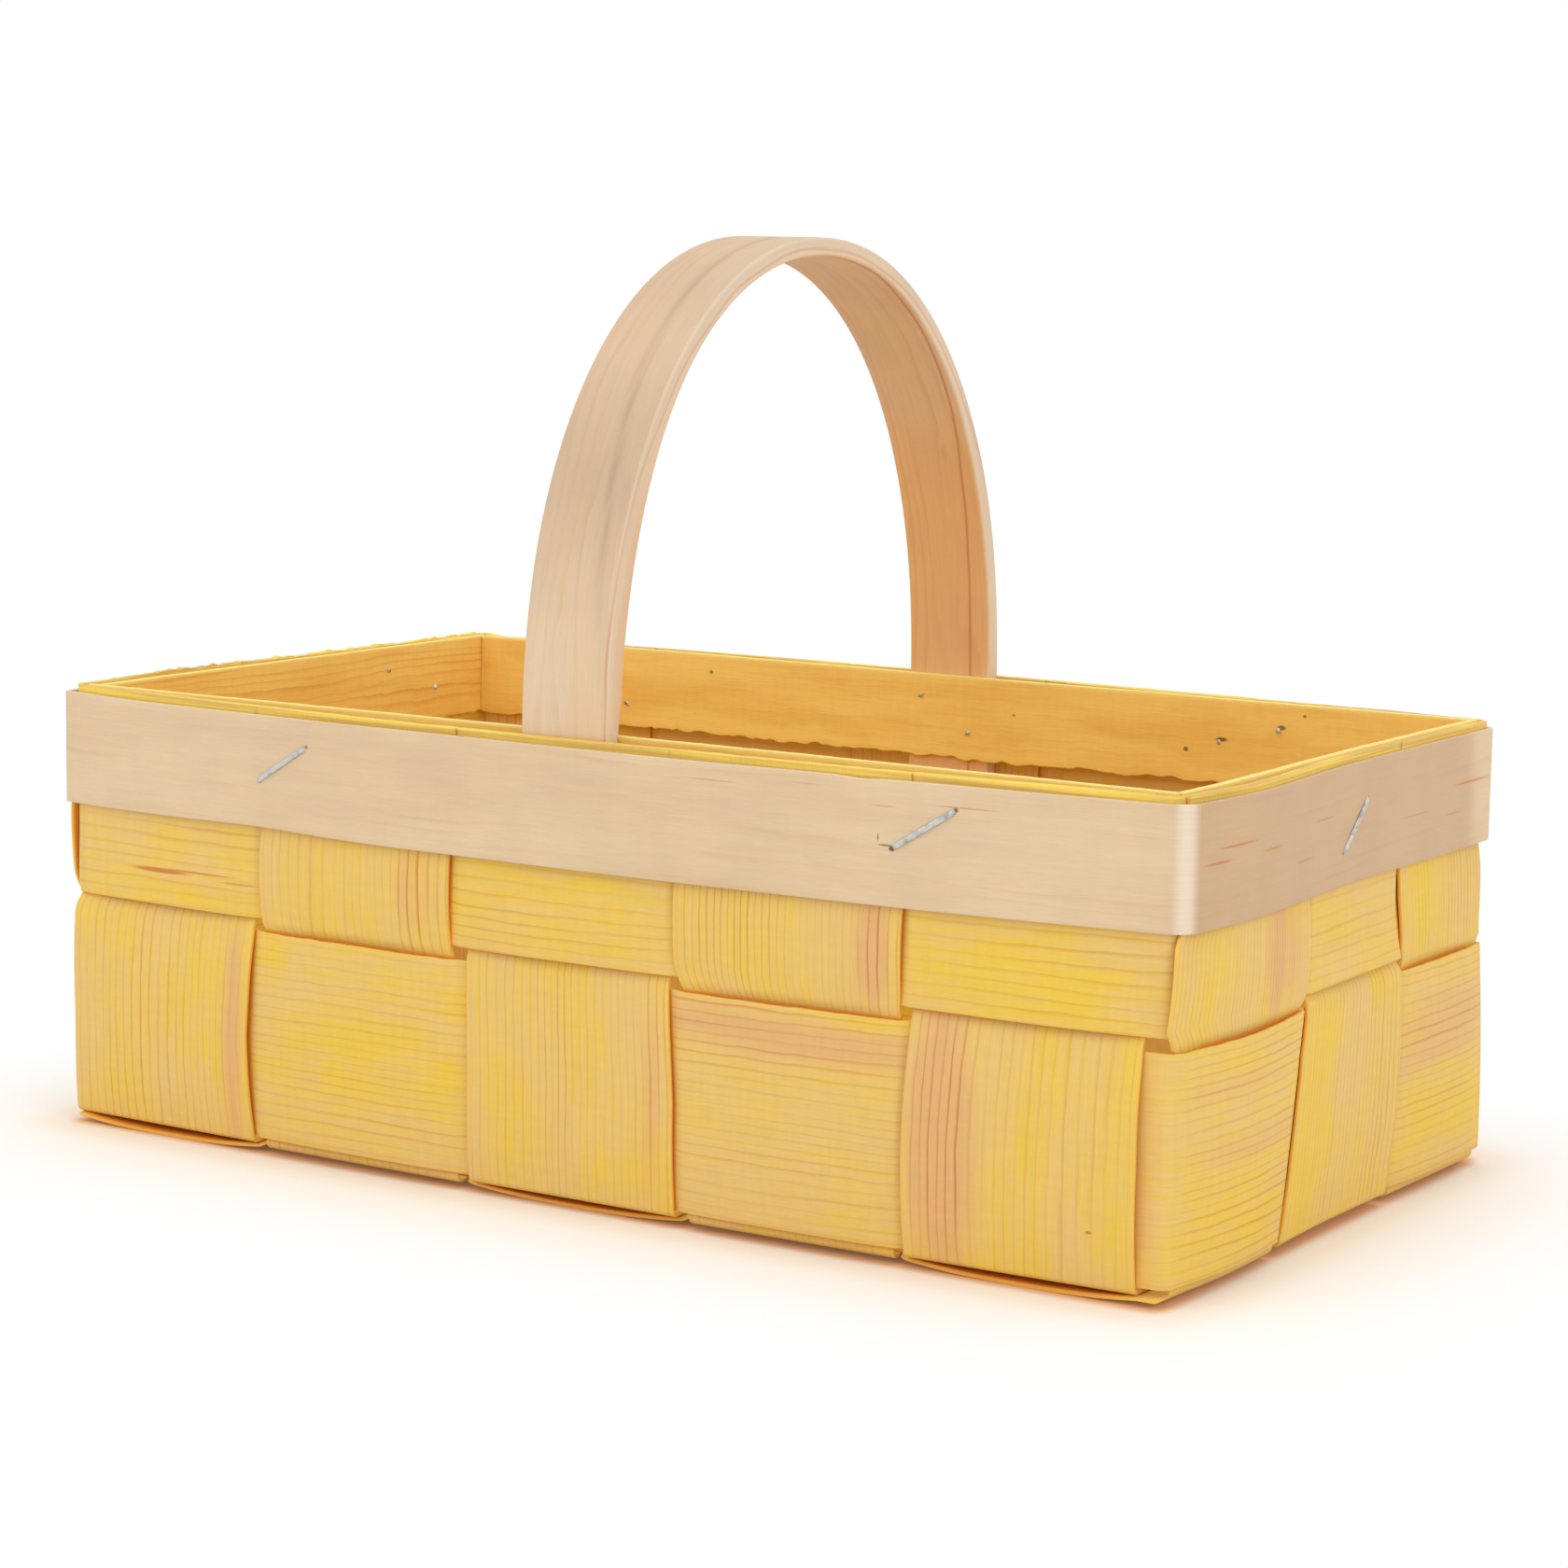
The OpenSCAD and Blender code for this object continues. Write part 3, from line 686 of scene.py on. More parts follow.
def stretched_noise(tree, vector, along, across, detail=2.0, seed=0.0):
    """Noise on the strip's map, with its own scale along and across the grain."""
    mapped = add(tree, "ShaderNodeMapping", {"Vector": vector, "Location": (seed, seed * 1.7, seed),
                                             "Scale": (along, across, 1)})
    return noise_at(tree, mapped.outputs[0], detail, noise_dimensions="2D")


def number(tree, label):
    """A number that the mesh carries at each of its points."""
    return add(tree, "ShaderNodeAttribute", attribute_name=label).outputs["Fac"]


def object_place(tree):
    return add(tree, "ShaderNodeTexCoord").outputs["Object"]


def new_group(name, inputs, outputs):
    """An empty node group, its inputs' outputs and the node that takes its results."""
    tree = bpy.data.node_groups.new(name, "ShaderNodeTree")
    for label, kind, default in inputs:
        made = tree.interface.new_socket(name=label, in_out="INPUT", socket_type="NodeSocket" + kind)
        if default is not None:
            made.default_value = default
    for label in outputs:
        tree.interface.new_socket(name=label, in_out="OUTPUT", socket_type="NodeSocketFloat")
    return tree, tree.nodes.new("NodeGroupInput").outputs, tree.nodes.new("NodeGroupOutput")


def use_group(tree, group, values):
    made = tree.nodes.new("ShaderNodeGroup")
    name = group.__name__.replace("_", " ").capitalize()
    made.node_tree = bpy.data.node_groups.get(name) or group()
    for label, value in values.items():
        if isinstance(value, bpy.types.NodeSocket):
            tree.links.new(value, made.inputs[label])
        else:
            made.inputs[label].default_value = value
    return made.outputs


def wood_grain():
    """Growth lines, fine fibres, the tone that fibres and faint ripples give, and the relief."""
    tree, given, result = new_group(
        "Wood grain",
        [("Grain", "Vector", None), ("Rings", "Float", 0.0), ("Wander", "Float", 0.5),
         ("Sharpness", "Float", 0.6), ("Ripple", "Float", 0.06)],
        ("Lines", "Fibre", "Tone", "Height"))
    grain = given["Grain"]
    drift = maths(tree, "SUBTRACT", stretched_noise(tree, grain, 0.014, 0.09, 3), 0.5)
    shiver = maths(tree, "SUBTRACT", stretched_noise(tree, grain, 0.12, 0.5, 2, 3.1), 0.5)
    moved = maths(tree, "MULTIPLY_ADD", drift, times(tree, given["Wander"], 3.0), given["Rings"])
    moved = maths(tree, "MULTIPLY_ADD", shiver, 0.25, moved)
    part = maths(tree, "FRACT", moved)
    rise = ramp(tree, part, given["Sharpness"], 0.93)
    fall = ramp(tree, part, 0.95, 1.0, 1.0, 0.0)
    along = add(tree, "ShaderNodeSeparateXYZ", {0: grain}).outputs[0]
    which = add(tree, "ShaderNodeCombineXYZ",
                {0: times(tree, along, 0.02), 1: times(tree, maths(tree, "FLOOR", moved), 5.37)}).outputs[0]
    each = ramp(tree, noise_at(tree, which, 1.0, noise_dimensions="2D"), 0.3, 0.68, 0.4, 1.0)
    lines = times(tree, times(tree, rise, fall), each)
    fibre = times(tree, stretched_noise(tree, grain, 0.09, 2.3, 3, 9.0), 0.6)
    fibre = maths(tree, "ADD", fibre, times(tree, stretched_noise(tree, grain, 0.45, 5.5, 2, 4.0), 0.4))
    ripple = stretched_noise(tree, grain, 0.85, 0.16, 2, 6.0)
    tone = swing(tree, ripple, given["Ripple"], swing(tree, fibre, 0.2, 1.0))
    height = maths(tree, "ADD", times(tree, lines, 0.15), times(tree, fibre, 0.7))
    height = maths(tree, "ADD", height, times(tree, ripple, 0.35))
    for label, value in (("Lines", lines), ("Fibre", fibre), ("Tone", tone), ("Height", height)):
        tree.links.new(value, result.inputs[label])
    return tree


def fleck():
    """A soft spot at one place of the object: 1 / half sizes, middle times that, and strength."""
    tree, given, result = new_group(
        "Fleck", [("Place", "Vector", None), ("Scale", "Vector", None), ("Shift", "Vector", None),
                  ("Strength", "Float", 0.5)], ("Mask",))
    away = add(tree, "ShaderNodeVectorMath", {0: given["Place"], 1: given["Scale"], 2: given["Shift"]},
               operation="MULTIPLY_ADD").outputs[0]
    far = add(tree, "ShaderNodeVectorMath", {0: away}, operation="LENGTH").outputs["Value"]
    tree.links.new(ramp(tree, far, 0.5, 1.1, given["Strength"], 0.0), result.inputs["Mask"])
    return tree


def flecks(tree, marks):
    """Soft spots at given places of the object, as (middle, half sizes, strength)."""
    place, total = object_place(tree), 0.0
    for middle, half, strength in marks:
        scale = [1 / (h * MM) for h in half]
        shift = [-c * MM * s for c, s in zip(middle, scale)]
        spot = use_group(tree, fleck, {"Place": place, "Scale": scale, "Shift": shift, "Strength": strength})
        total = maths(tree, "MAXIMUM", total, spot["Mask"])
    return total


def new_material(name, shown):
    made = bpy.data.materials.new(name)
    made.use_nodes = True
    made.diffuse_color = (*shown, 1)
    tree = made.node_tree
    tree.nodes.clear()
    shader = add(tree, "ShaderNodeBsdfPrincipled", {"Specular IOR Level": 0.32})
    add(tree, "ShaderNodeOutputMaterial", {0: shader.outputs[0]})
    return made, tree, shader.inputs


def use_grain(tree, wander, sharpness, ripple=0.06):
    """The strip's map and the outputs of the wood grain on it."""
    vector = add(tree, "ShaderNodeUVMap", uv_map="Grain").outputs[0]
    values = {"Grain": vector, "Rings": number(tree, "rings"), "Wander": wander, "Sharpness": sharpness,
              "Ripple": ripple}
    return vector, use_group(tree, wood_grain, values)


def line_share(tree, grain, strength):
    return times(tree, times(tree, grain["Lines"], number(tree, "line")), strength, clamped=True)


def finish_wood(tree, shader, base, grain, rough, depth):
    """Fibres and ripples in the colour, the roughness and the relief."""
    spread_of_rough = 0.08
    tree.links.new(blend(tree, 1.0, base, grain["Tone"], "MULTIPLY"), shader["Base Color"])
    tree.links.new(ramp(tree, grain["Fibre"], 0.3, 0.7, rough - spread_of_rough, rough + spread_of_rough),
                   shader["Roughness"])
    relief = add(tree, "ShaderNodeBump", {"Height": grain["Height"], "Distance": depth * MM, "Strength": 1.0})
    tree.links.new(relief.outputs[0], shader["Normal"])


def dyed_splint(name, look):
    made, tree, shader = new_material(name, look.pale_yellow)
    vector, grain = use_grain(tree, 0.35, 0.66)
    dye = number(tree, "dye")
    for along, across, strength, seed in ((0.05, 0.12, 0.7, 2.0), (0.1, 0.9, 0.9, 13.0)):
        dye = swing(tree, stretched_noise(tree, vector, along, across, 3, seed), strength, dye)
    base = blend(tree, ramp(tree, dye, 0.1, 0.95), look.pale_yellow, look.deep_yellow)
    tan = swing(tree, stretched_noise(tree, vector, 0.02, 0.5, 2, 5.0), 0.5, number(tree, "tan"))
    tan = ramp(tree, tan, 0.05, 0.9)
    base = blend(tree, tan, base, look.pinkish)
    base = blend(tree, line_share(tree, grain, 0.62), base, blend(tree, tan, look.ring_brown, look.ring_red))
    base = blend(tree, flecks(tree, SPLINT_FLECKS), base, look.ring_red)
    patchy = ramp(tree, stretched_noise(tree, vector, 0.12, 0.0, 2, 8.0), 0.35, 0.65, 0.3, 0.85)
    cut = times(tree, ramp(tree, number(tree, "edge"), 0.05, 0.25, 1.0, 0.0), patchy)
    base = blend(tree, cut, base, look.cut)
    # Painted shade: faces covered by a crossing splint, seen only through the gaps, turn orange
    base = blend(tree, times(tree, number(tree, "under"), 0.9), base, look.deep_orange)
    place = object_place(tree)
    layers = add(tree, "ShaderNodeMapping", {"Vector": place, "Scale": (25, 25, 2200)}).outputs[0]
    fibres = blend(tree, ramp(tree, noise_at(tree, layers, 3.0), 0.35, 0.65), look.rim_tan, look.rim_lemon)
    height = add(tree, "ShaderNodeSeparateXYZ", {0: place}).outputs[2]
    base = blend(tree, ramp(tree, height, FRAYED_Z[0] * MM, FRAYED_Z[1] * MM), base, fibres)
    finish_wood(tree, shader, base, grain, 0.56, 0.04)
    return made


def dyed_board(name, look):
    made, tree, shader = new_material(name, look.board)
    vector, grain = use_grain(tree, 0.9, 0.5)
    clouds = ramp(tree, stretched_noise(tree, vector, 0.03, 0.15, 3, 2.0), 0.35, 0.7)
    base = blend(tree, clouds, look.board, tinted(look.board, 0.94, 0.84, 0.72))
    base = blend(tree, line_share(tree, grain, 0.5), base, look.ring_brown)
    base = blend(tree, flecks(tree, BOARD_FLECKS), base, look.speck)
    top = ramp(tree, number(tree, "edge"), 0.15, 0.6, 1.0, 0.0)
    base = blend(tree, top, base, look.board_edge)
    finish_wood(tree, shader, base, grain, 0.58, 0.06)
    return made


def pale_wood(name, look, colour, inner, wander, strength, marks, holes):
    """Undyed wood with a vein along it, turning to the inner colour where the piece says so."""
    made, tree, shader = new_material(name, colour)
    vector, grain = use_grain(tree, wander, 0.5, 0.02)
    base = blend(tree, ramp(tree, number(tree, "inside"), 0.0, 1.0), colour, inner)
    clouds = ramp(tree, stretched_noise(tree, vector, 0.02, 0.12, 3, 7.0), 0.3, 0.75, 0.0, 0.3)
    base = blend(tree, clouds, base, inner)
    # Painted shade over the handle's outer face, with a darker stripe of the wood along it
    base = blend(tree, number(tree, "aged"), base, look.aged)
    waves = ramp(tree, stretched_noise(tree, vector, 0.07, 0.06, 2, 11.0), 0.3, 0.7, 0.975, 1.015)
    base = blend(tree, 1.0, base, waves, "MULTIPLY")
    base = blend(tree, line_share(tree, grain, strength), base, look.ring_red)
    height = add(tree, "ShaderNodeSeparateXYZ", {0: vector}).outputs[1]
    vein = maths(tree, "ABSOLUTE", maths(tree, "SUBTRACT", height, number(tree, "vein")))
    base = blend(tree, ramp(tree, vein, 0.1, 0.4, 0.62, 0.0), base, look.ring_red)
    for spots_there, dark in ((marks, look.ring_red), (holes, look.hole)):
        if spots_there:
            base = blend(tree, flecks(tree, spots_there), base, dark)
    # Painted highlight on the band's corner, and a pale strip along one edge of the handle
    base = blend(tree, times(tree, number(tree, "worn"), 0.8), base, look.worn)
    finish_wood(tree, shader, base, grain, 0.6, 0.035)
    return made


def staple_wire(name, look):
    made, tree, shader = new_material(name, look.wire)
    mottle = noise_at(tree, object_place(tree), 3.0, 900.0)
    base = blend(tree, ramp(tree, mottle, 0.4, 0.75), look.wire, tinted(look.wire, 0.62, 0.62, 0.62))
    tree.links.new(base, shader["Base Color"])
    shader["Metallic"].default_value = 0.7
    tree.links.new(ramp(tree, mottle, 0.3, 0.8, 0.3, 0.55), shader["Roughness"])
    return made


def material(name):
    """The wood or wire of that name, made when it is first asked for."""
    look = bpy.context.scene.basket_colours
    if name in bpy.data.materials:
        return bpy.data.materials[name]
    if name == "Dyed splint":
        return dyed_splint(name, look)
    if name == "Dyed board":
        return dyed_board(name, look)
    if name == "Pale band":
        return pale_wood(name, look, look.band, look.band_dark, 0.8, 0.35, BAND_FLECKS, BAND_HOLES)
    if name == "Bent handle":
        return pale_wood(name, look, look.handle, look.handle_in, 1.2, 0.36, (), ())
    return staple_wire(name, look)


# Operators, one for each group of pieces

def splint_spot(walls, m, share, seed, s, run, z):
    """Place of a point of a splint across its length, between its two uneven edges. Share is how
    far the point is on its way to the first of two walls, and s how far from the first edge."""
    one, other = edges_between(*walls, m, clamp(share), z)
    low, high = [abs(wobble(seed + other_edge, run / WAVE_RUN, 0)) for other_edge in (0, 40)]
    return mix(one, other, s) + EDGE_WAVE * mix(low, -high, s)


def make_dyed(kind, node, lines, across, place, thick_of, spacing, seeds, row):
    """A dyed strip with growth lines a spacing apart. Seeds are those of its rings and its dye."""
    width = across[-1]
    bm = strip_of_wood(lines, across, place, thick_of, SPLINT_EDGE)
    numbers = dyed_numbers(ring_table(width, spacing, seeds[0]), width, seeds[1], row)
    finish_strip(kind + node, node, bm, across, "Dyed splint", numbers)


class BASKET_OT_cross_splints(bpy.types.Operator):
    """Makes the five splints that cross the floor and stand in the long walls"""
    bl_idname = "basket.cross_splints"
    bl_label = "Crosswise splints"

    def execute(self, context):
        weave = Weave(context.scene.basket_sizes)
        for n, (a, b) in enumerate(CROSS):
            across = rounded_rows(b - a, SPLINT_EDGE, ROW_STEP)
            side = 1 if n % 2 == 0 else -1
            places = [a + c for c in across]
            lines = [weave.splint_line(side, crossed(RIGHT, LEFT, 0.5 + x / 2 / LOW_X),
                                       lambda z, x=x: weave.out(FRONT, x, z)) for x in places]

            def place(spot, j, run, n=n, width=b - a):
                s = across[j] / width
                x = splint_spot((FRONT, BACK), n, 0.5 - spot.x / 2 / LOW_Y, n, s, run, spot.y)
                return settle((x, spot.x + self.sag(n, s, spot), spot.y))

            make_dyed("Splint_", "cross_splint_%d" % (n + 1), lines, across, place, weave.rim_thick,
                      (1.6, 1.9, 1.5, 1.3, 1.9)[n], (n + 1, n + 1), "V")
        return {"FINISHED"}

    def sag(self, n, s, spot):
        """The outer edges of the end stakes stand off in front, and the first one is held in."""
        loose = {0: ease((s - 0.55) / 0.45), 4: ease((0.45 - s) / 0.45)}.get(n, 0)
        loose *= low_bulge(spot.y) if spot.x < -LOW_Y + 1 else 0
        held = 0.5 * ease((0.3 - s) / 0.3) * low_bulge(spot.y) if n == 0 and spot.x < 0 else 0
        return held - 0.35 * loose


class BASKET_OT_long_splints(bpy.types.Operator):
    """Makes the three splints that run along the floor and stand in the end walls"""
    bl_idname = "basket.long_splints"
    bl_label = "Lengthwise splints"

    def execute(self, context):
        weave = Weave(context.scene.basket_sizes)
        for n, (a, b) in enumerate(LONG):
            across = rounded_rows(b - a, SPLINT_EDGE, ROW_STEP)
            side = -1 if n % 2 == 0 else 1
            lines = [weave.splint_line(side, crossed(FRONT, BACK, 0.5 - (a + c) / 2 / LOW_Y),
                                       lambda z: weave.out(RIGHT, 0, z)) for c in across]

            def place(spot, j, run, n=n, width=b - a):
                share = 0.5 + spot.x / 2 / LOW_X
                y = splint_spot((RIGHT, LEFT), n, share, n + 8, across[j] / width, run, spot.y)
                return settle((spot.x, y, spot.y))

            make_dyed("Splint_", "long_splint_" + ("front", "middle", "back")[n], lines, across, place,
                      weave.rim_thick, (1.0, 1.3, 1.2)[n], (n + 9, n + 9), "V")
        return {"FINISHED"}


class BASKET_OT_hoops(bpy.types.Operator):
    """Makes the two wide hoops woven round the walls"""
    bl_idname = "basket.hoops"
    bl_label = "Hoops"

    # Name, whether it is the lower one, its heights and the spacing of its growth lines
    HOOPS = (("lower_hoop", True, LOW_Z, 1.6), ("upper_hoop", False, UP_Z, 1.8))

    def execute(self, context):
        weave = Weave(context.scene.basket_sizes)
        for name, low, (a, b), spacing in self.HOOPS:
            across = rounded_rows(b - a, SPLINT_EDGE, ROW_STEP)
            lines = [weave.hoop_line(low, a + c) for c in across]

            def place(spot, j, run, a=a, width=b - a, low=low):
                c = across[j]
                fuzz = 0.14 if low else 0.1
                bottom = 0.1 * wobble(3 + low, run / 23, 0)
                top = fuzz * (wobble(5 + low, run / 21, 0) + wobble(8 + low, run / 2.3, 0))
                return settle((spot.x, spot.y, a + c + mix(bottom, top, c / width)))

            make_dyed("Hoop_", name, lines, across, place, lambda p: weave.t, spacing,
                      (21 + low, 21 + 3 * low), "H")
        return {"FINISHED"}


class BASKET_OT_rim_boards(bpy.types.Operator):
    """Makes the four boards inside the rim, torn along their lower edges"""
    bl_idname = "basket.rim_boards"
    bl_label = "Rim boards"

    # Wall, seed, how far the top swells up in the middle, and strength of the growth lines
    BOARDS = {"front": (FRONT, 20, 0.42, 0.8), "back": (BACK, 75, 0.05, 0.15), "left": (LEFT, 140, 0.05, 1.4),
              "right": (RIGHT, 250, 0.2, 0.8)}
    EDGE_R, STEP, TEAR = 0.18, 0.8, 0.5

    def execute(self, context):
        thick = context.scene.basket_sizes.board_t / MM
        for name, (wall, seed, rise, plain) in self.BOARDS.items():
            node = "rim_board_" + name
            low, high = [Vector(c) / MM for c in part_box(node)]
            axis = wall % 2
            half = (high[axis] - low[axis]) / 2
            middle = abs(high[1 - axis] + low[1 - axis]) / 2
            height = RIM_TOP - low.z - self.TEAR
            across = rounded_rows(height, self.EDGE_R, self.STEP)
            line = [(u, 0) for u in spread(-half, half, round(half * 2 / self.STEP))]

            def place(spot, j, run):
                c = across[j]
                torn = 0.4 * wobble(seed, run / 9, 1) + 0.5 * wobble(seed, run / 2.6, 3)
                torn += 0.25 * wobble(seed, run, 5)
                crest = 0.07 * wobble(seed + 1, run / 14, 0) + 0.04 * wobble(seed + 2, run / 1.9, 0)
                crest += rise * (1 - 0.4 * (spot.x / half) ** 2)
                p = Vector((spot.x, spot.y - middle, RIM_TOP - height + c + mix(torn, crest, c / height)))
                p.rotate(Matrix.Rotation(math.radians(90 * wall), 3, "Z"))
                return settle(p, board=True)

            bm = strip_of_wood([line] * len(across), across, place, lambda p: thick, self.EDGE_R)
            rings = ring_table(height, 1.9, seed)
            finish_strip("Board_" + node, node, bm, across, "Dyed board", {
                "rings": lambda a, b, d, p: rings(b),
                "edge": lambda a, b, d, p: height - b,
                "line": lambda a, b, d, p: plain * clamp(0.5 + 0.5 * wobble(seed, a / 40, b / 5), 0.05, 1),
            })
        return {"FINISHED"}


class BASKET_OT_rim_band(bpy.types.Operator):
    """Makes the pale band round the rim, its ends overlapping at the back"""
    bl_idname = "basket.rim_band"
    bl_label = "Rim band"

    # Place in plan of the corner's painted highlight, radius of the band's edges and distance between its
    # rows
    WORN_X, WORN_Y = 106.1, -57.4
    EDGE_R, STEP = 0.22, 1.0

    def execute(self, context):
        size = context.scene.basket_sizes
        across = rounded_rows(BAND_Z[1] - BAND_Z[0], self.EDGE_R, self.STEP)

        def place(spot, j, run):
            c = across[j]
            x, y = spot
            low, top = 0.1 * wobble(31, run / 40, 0), 0.32 + 0.1 * wobble(33, run / 31, 0)
            if y < -50:
                low += 0.45 * bell(x, -62, 14) - 0.35 * (1 - (x / UP_X) ** 2)
                top += 0.25 * bell(x, -102, 6) - 0.25 * bell(x, 54, 3)
            elif x > 100:
                low -= 0.3 * bell(y, 30, 15)
            return settle((x, y, BAND_Z[0] + c + mix(low, top, c / across[-1])), band=True)

        lines = [self.line(size)] * len(across)
        bm = strip_of_wood(lines, across, place, lambda p: size.band_t / MM, self.EDGE_R)
        rings = ring_table(across[-1], 2.4, 31)
        finish_strip("Band_rim", "rim_band", bm, across, "Pale band", {
            "rings": lambda a, b, d, p: rings(b),
            "inside": lambda a, b, d, p: ease((p.x - 102) / 5) * ease((52 - p.y) / 8),
            # Painted highlight down the band's front right corner
            "worn": lambda a, b, d, p: ease(1.35 - math.hypot(p.x - self.WORN_X, p.y - self.WORN_Y) / 2),
            "aged": lambda a, b, d, p: 0.0,
            "vein": lambda a, b, d, p: -10.0,
            "line": lambda a, b, d, p: clamp(0.1 + 0.6 * wobble(35, a / 30, b / 2.5), 0, 1),
        })
        return {"FINISHED"}

    def line(self, size):
        """The band's middle line in plan, from its inner end at the back round to its outer end."""
        weave = Weave(size)
        thick = size.band_t / MM
        middle = weave.band_in + thick / 2
        wire_room = size.wire_t / MM + weave.play

        def side(u0, u1, n, lift=0.0):
            return [(u, middle + lift + wire_room * (1 - (u / UP_X) ** 2), 0)
                    for u in spread(u0, u1, n)]

        def end(wall, after):
            """Where the straight part of a wall stops before the corner at one of its ends."""
            return (UP_Y if wall % 2 else UP_X) + middle - BAND_R[wall if after else (wall - 1) % 4]

        def short(wall):
            return [(u, middle, 0) for u in spread(-end(wall, False), end(wall, True), 50)]

        lap0, lap1 = [LAP_SHARE * UP_X + way * BAND_LAP / 2 for way in (-1, 1)]
        run_up = side(-end(BACK, False), lap0 - LAP_RAMP, 24)
        over = side(lap0, lap1, 20, thick + weave.play)
        walls = (side(lap0, end(BACK, True), 80), short(LEFT),
                 side(-end(FRONT, False), end(FRONT, True), 110), short(RIGHT),
                 run_up + weave.step(run_up[-1], over[0], 10) + over)
        return weave.round_walls(walls, BAND_R, RIM_TOP, edge=middle, skip=1)


class BASKET_OT_handle(bpy.types.Operator):
    """Makes the bentwood handle, its legs held between boards and weave"""
    bl_idname = "basket.handle"
    bl_label = "Handle"

    EDGE_R, STEP = 0.55, 1.0

    def execute(self, context):
        size = context.scene.basket_sizes
        thick, width = size.handle_t / MM, size.handle_w / MM
        wide, tall = HANDLE_Y - thick / 2, HANDLE_Z[1] - thick / 2 - RIM_TOP

        def thick_of(p):
            """The front leg is left thicker above the rim, and the crown and the back leg are thinner."""
            if p.x < 0:
                swollen = ease((p.y - 74) / 7) * (1 - ease((p.y - 96) / 44))
                return thick + 0.9 * swollen - 0.3 * ease((p.y - 112) / 35)
            return thick - 0.4 * ease((p.y - 92) / 50)

        arch = [(-wide * math.copysign(abs(math.cos(a)) ** (2 / ARCH_POWER), math.cos(a)),
                 RIM_TOP + tall * math.sin(a) ** (2 / ARCH_POWER)) for a in spread(0, math.pi, 150)]
        arch = [(y + (thick_of(Vector((y, z))) - thick) / 2 if y < 0 else y, z) for y, z in arch]
        leg = spread(HANDLE_Z[0], RIM_TOP, 18)[:-1]
        line = [(-wide, z) for z in leg] + arch + [(wide, z) for z in reversed(leg)]
        line.reverse()
        across = rounded_rows(width, self.EDGE_R, self.STEP)

        def place(spot, j, run):
            x = across[j] - width / 2 + HANDLE_SKEW / 2 * clamp(spot.x / BOARD_FACE, -1, 1)
            return Vector((x, spot.x, spot.y))

        def vein(a, b, d, p):
            return width + mix(-0.3, 1.9, ease((p.z - 90) / 55)) + 0.5 * wobble(47, a / 12, 0)

        def aged(a, b, d, p):
            """Painted grey shade on the outer face around mid height and towards the crown, with a darker
            stripe of the wood along it.
            """
            # Painted shade, by height
            tone = 0.6 * bell(p.z, 118, 20) + 0.45 * ease((p.z - 132) / 14)
            # The darker stripe is the wood's own
            stripe = width * mix(0.84, 0.6, ease((p.z - 85) / 60)) + 0.6 * wobble(51, a / 15, 0)
            tone += 0.4 * bell(b, stripe, 0.6) * ease((p.z - 86) / 12)
            return clamp(tone * ease((thick * 0.4 - d) / 0.6))

        bm = strip_of_wood([line] * len(across), across, place, thick_of, self.EDGE_R)
        rings = ring_table(width, 3.1, 4)
        finish_strip("Handle_bent", "handle", bm, across, "Bent handle", {
            "rings": lambda a, b, d, p: rings(b + 0.8 * d),
            "inside": lambda a, b, d, p: ease((d / thick - 0.86) / 0.14),
            "aged": aged,
            # A pale strip along one edge of the handle
            "worn": lambda a, b, d, p: 0.5 * ease((b - width + 0.5) / 0.4),
            "vein": vein,
            "line": lambda a, b, d, p: clamp(0.35 + 0.5 * wobble(45, a / 60, b / 5), 0.05, 1),
        })
        return {"FINISHED"}


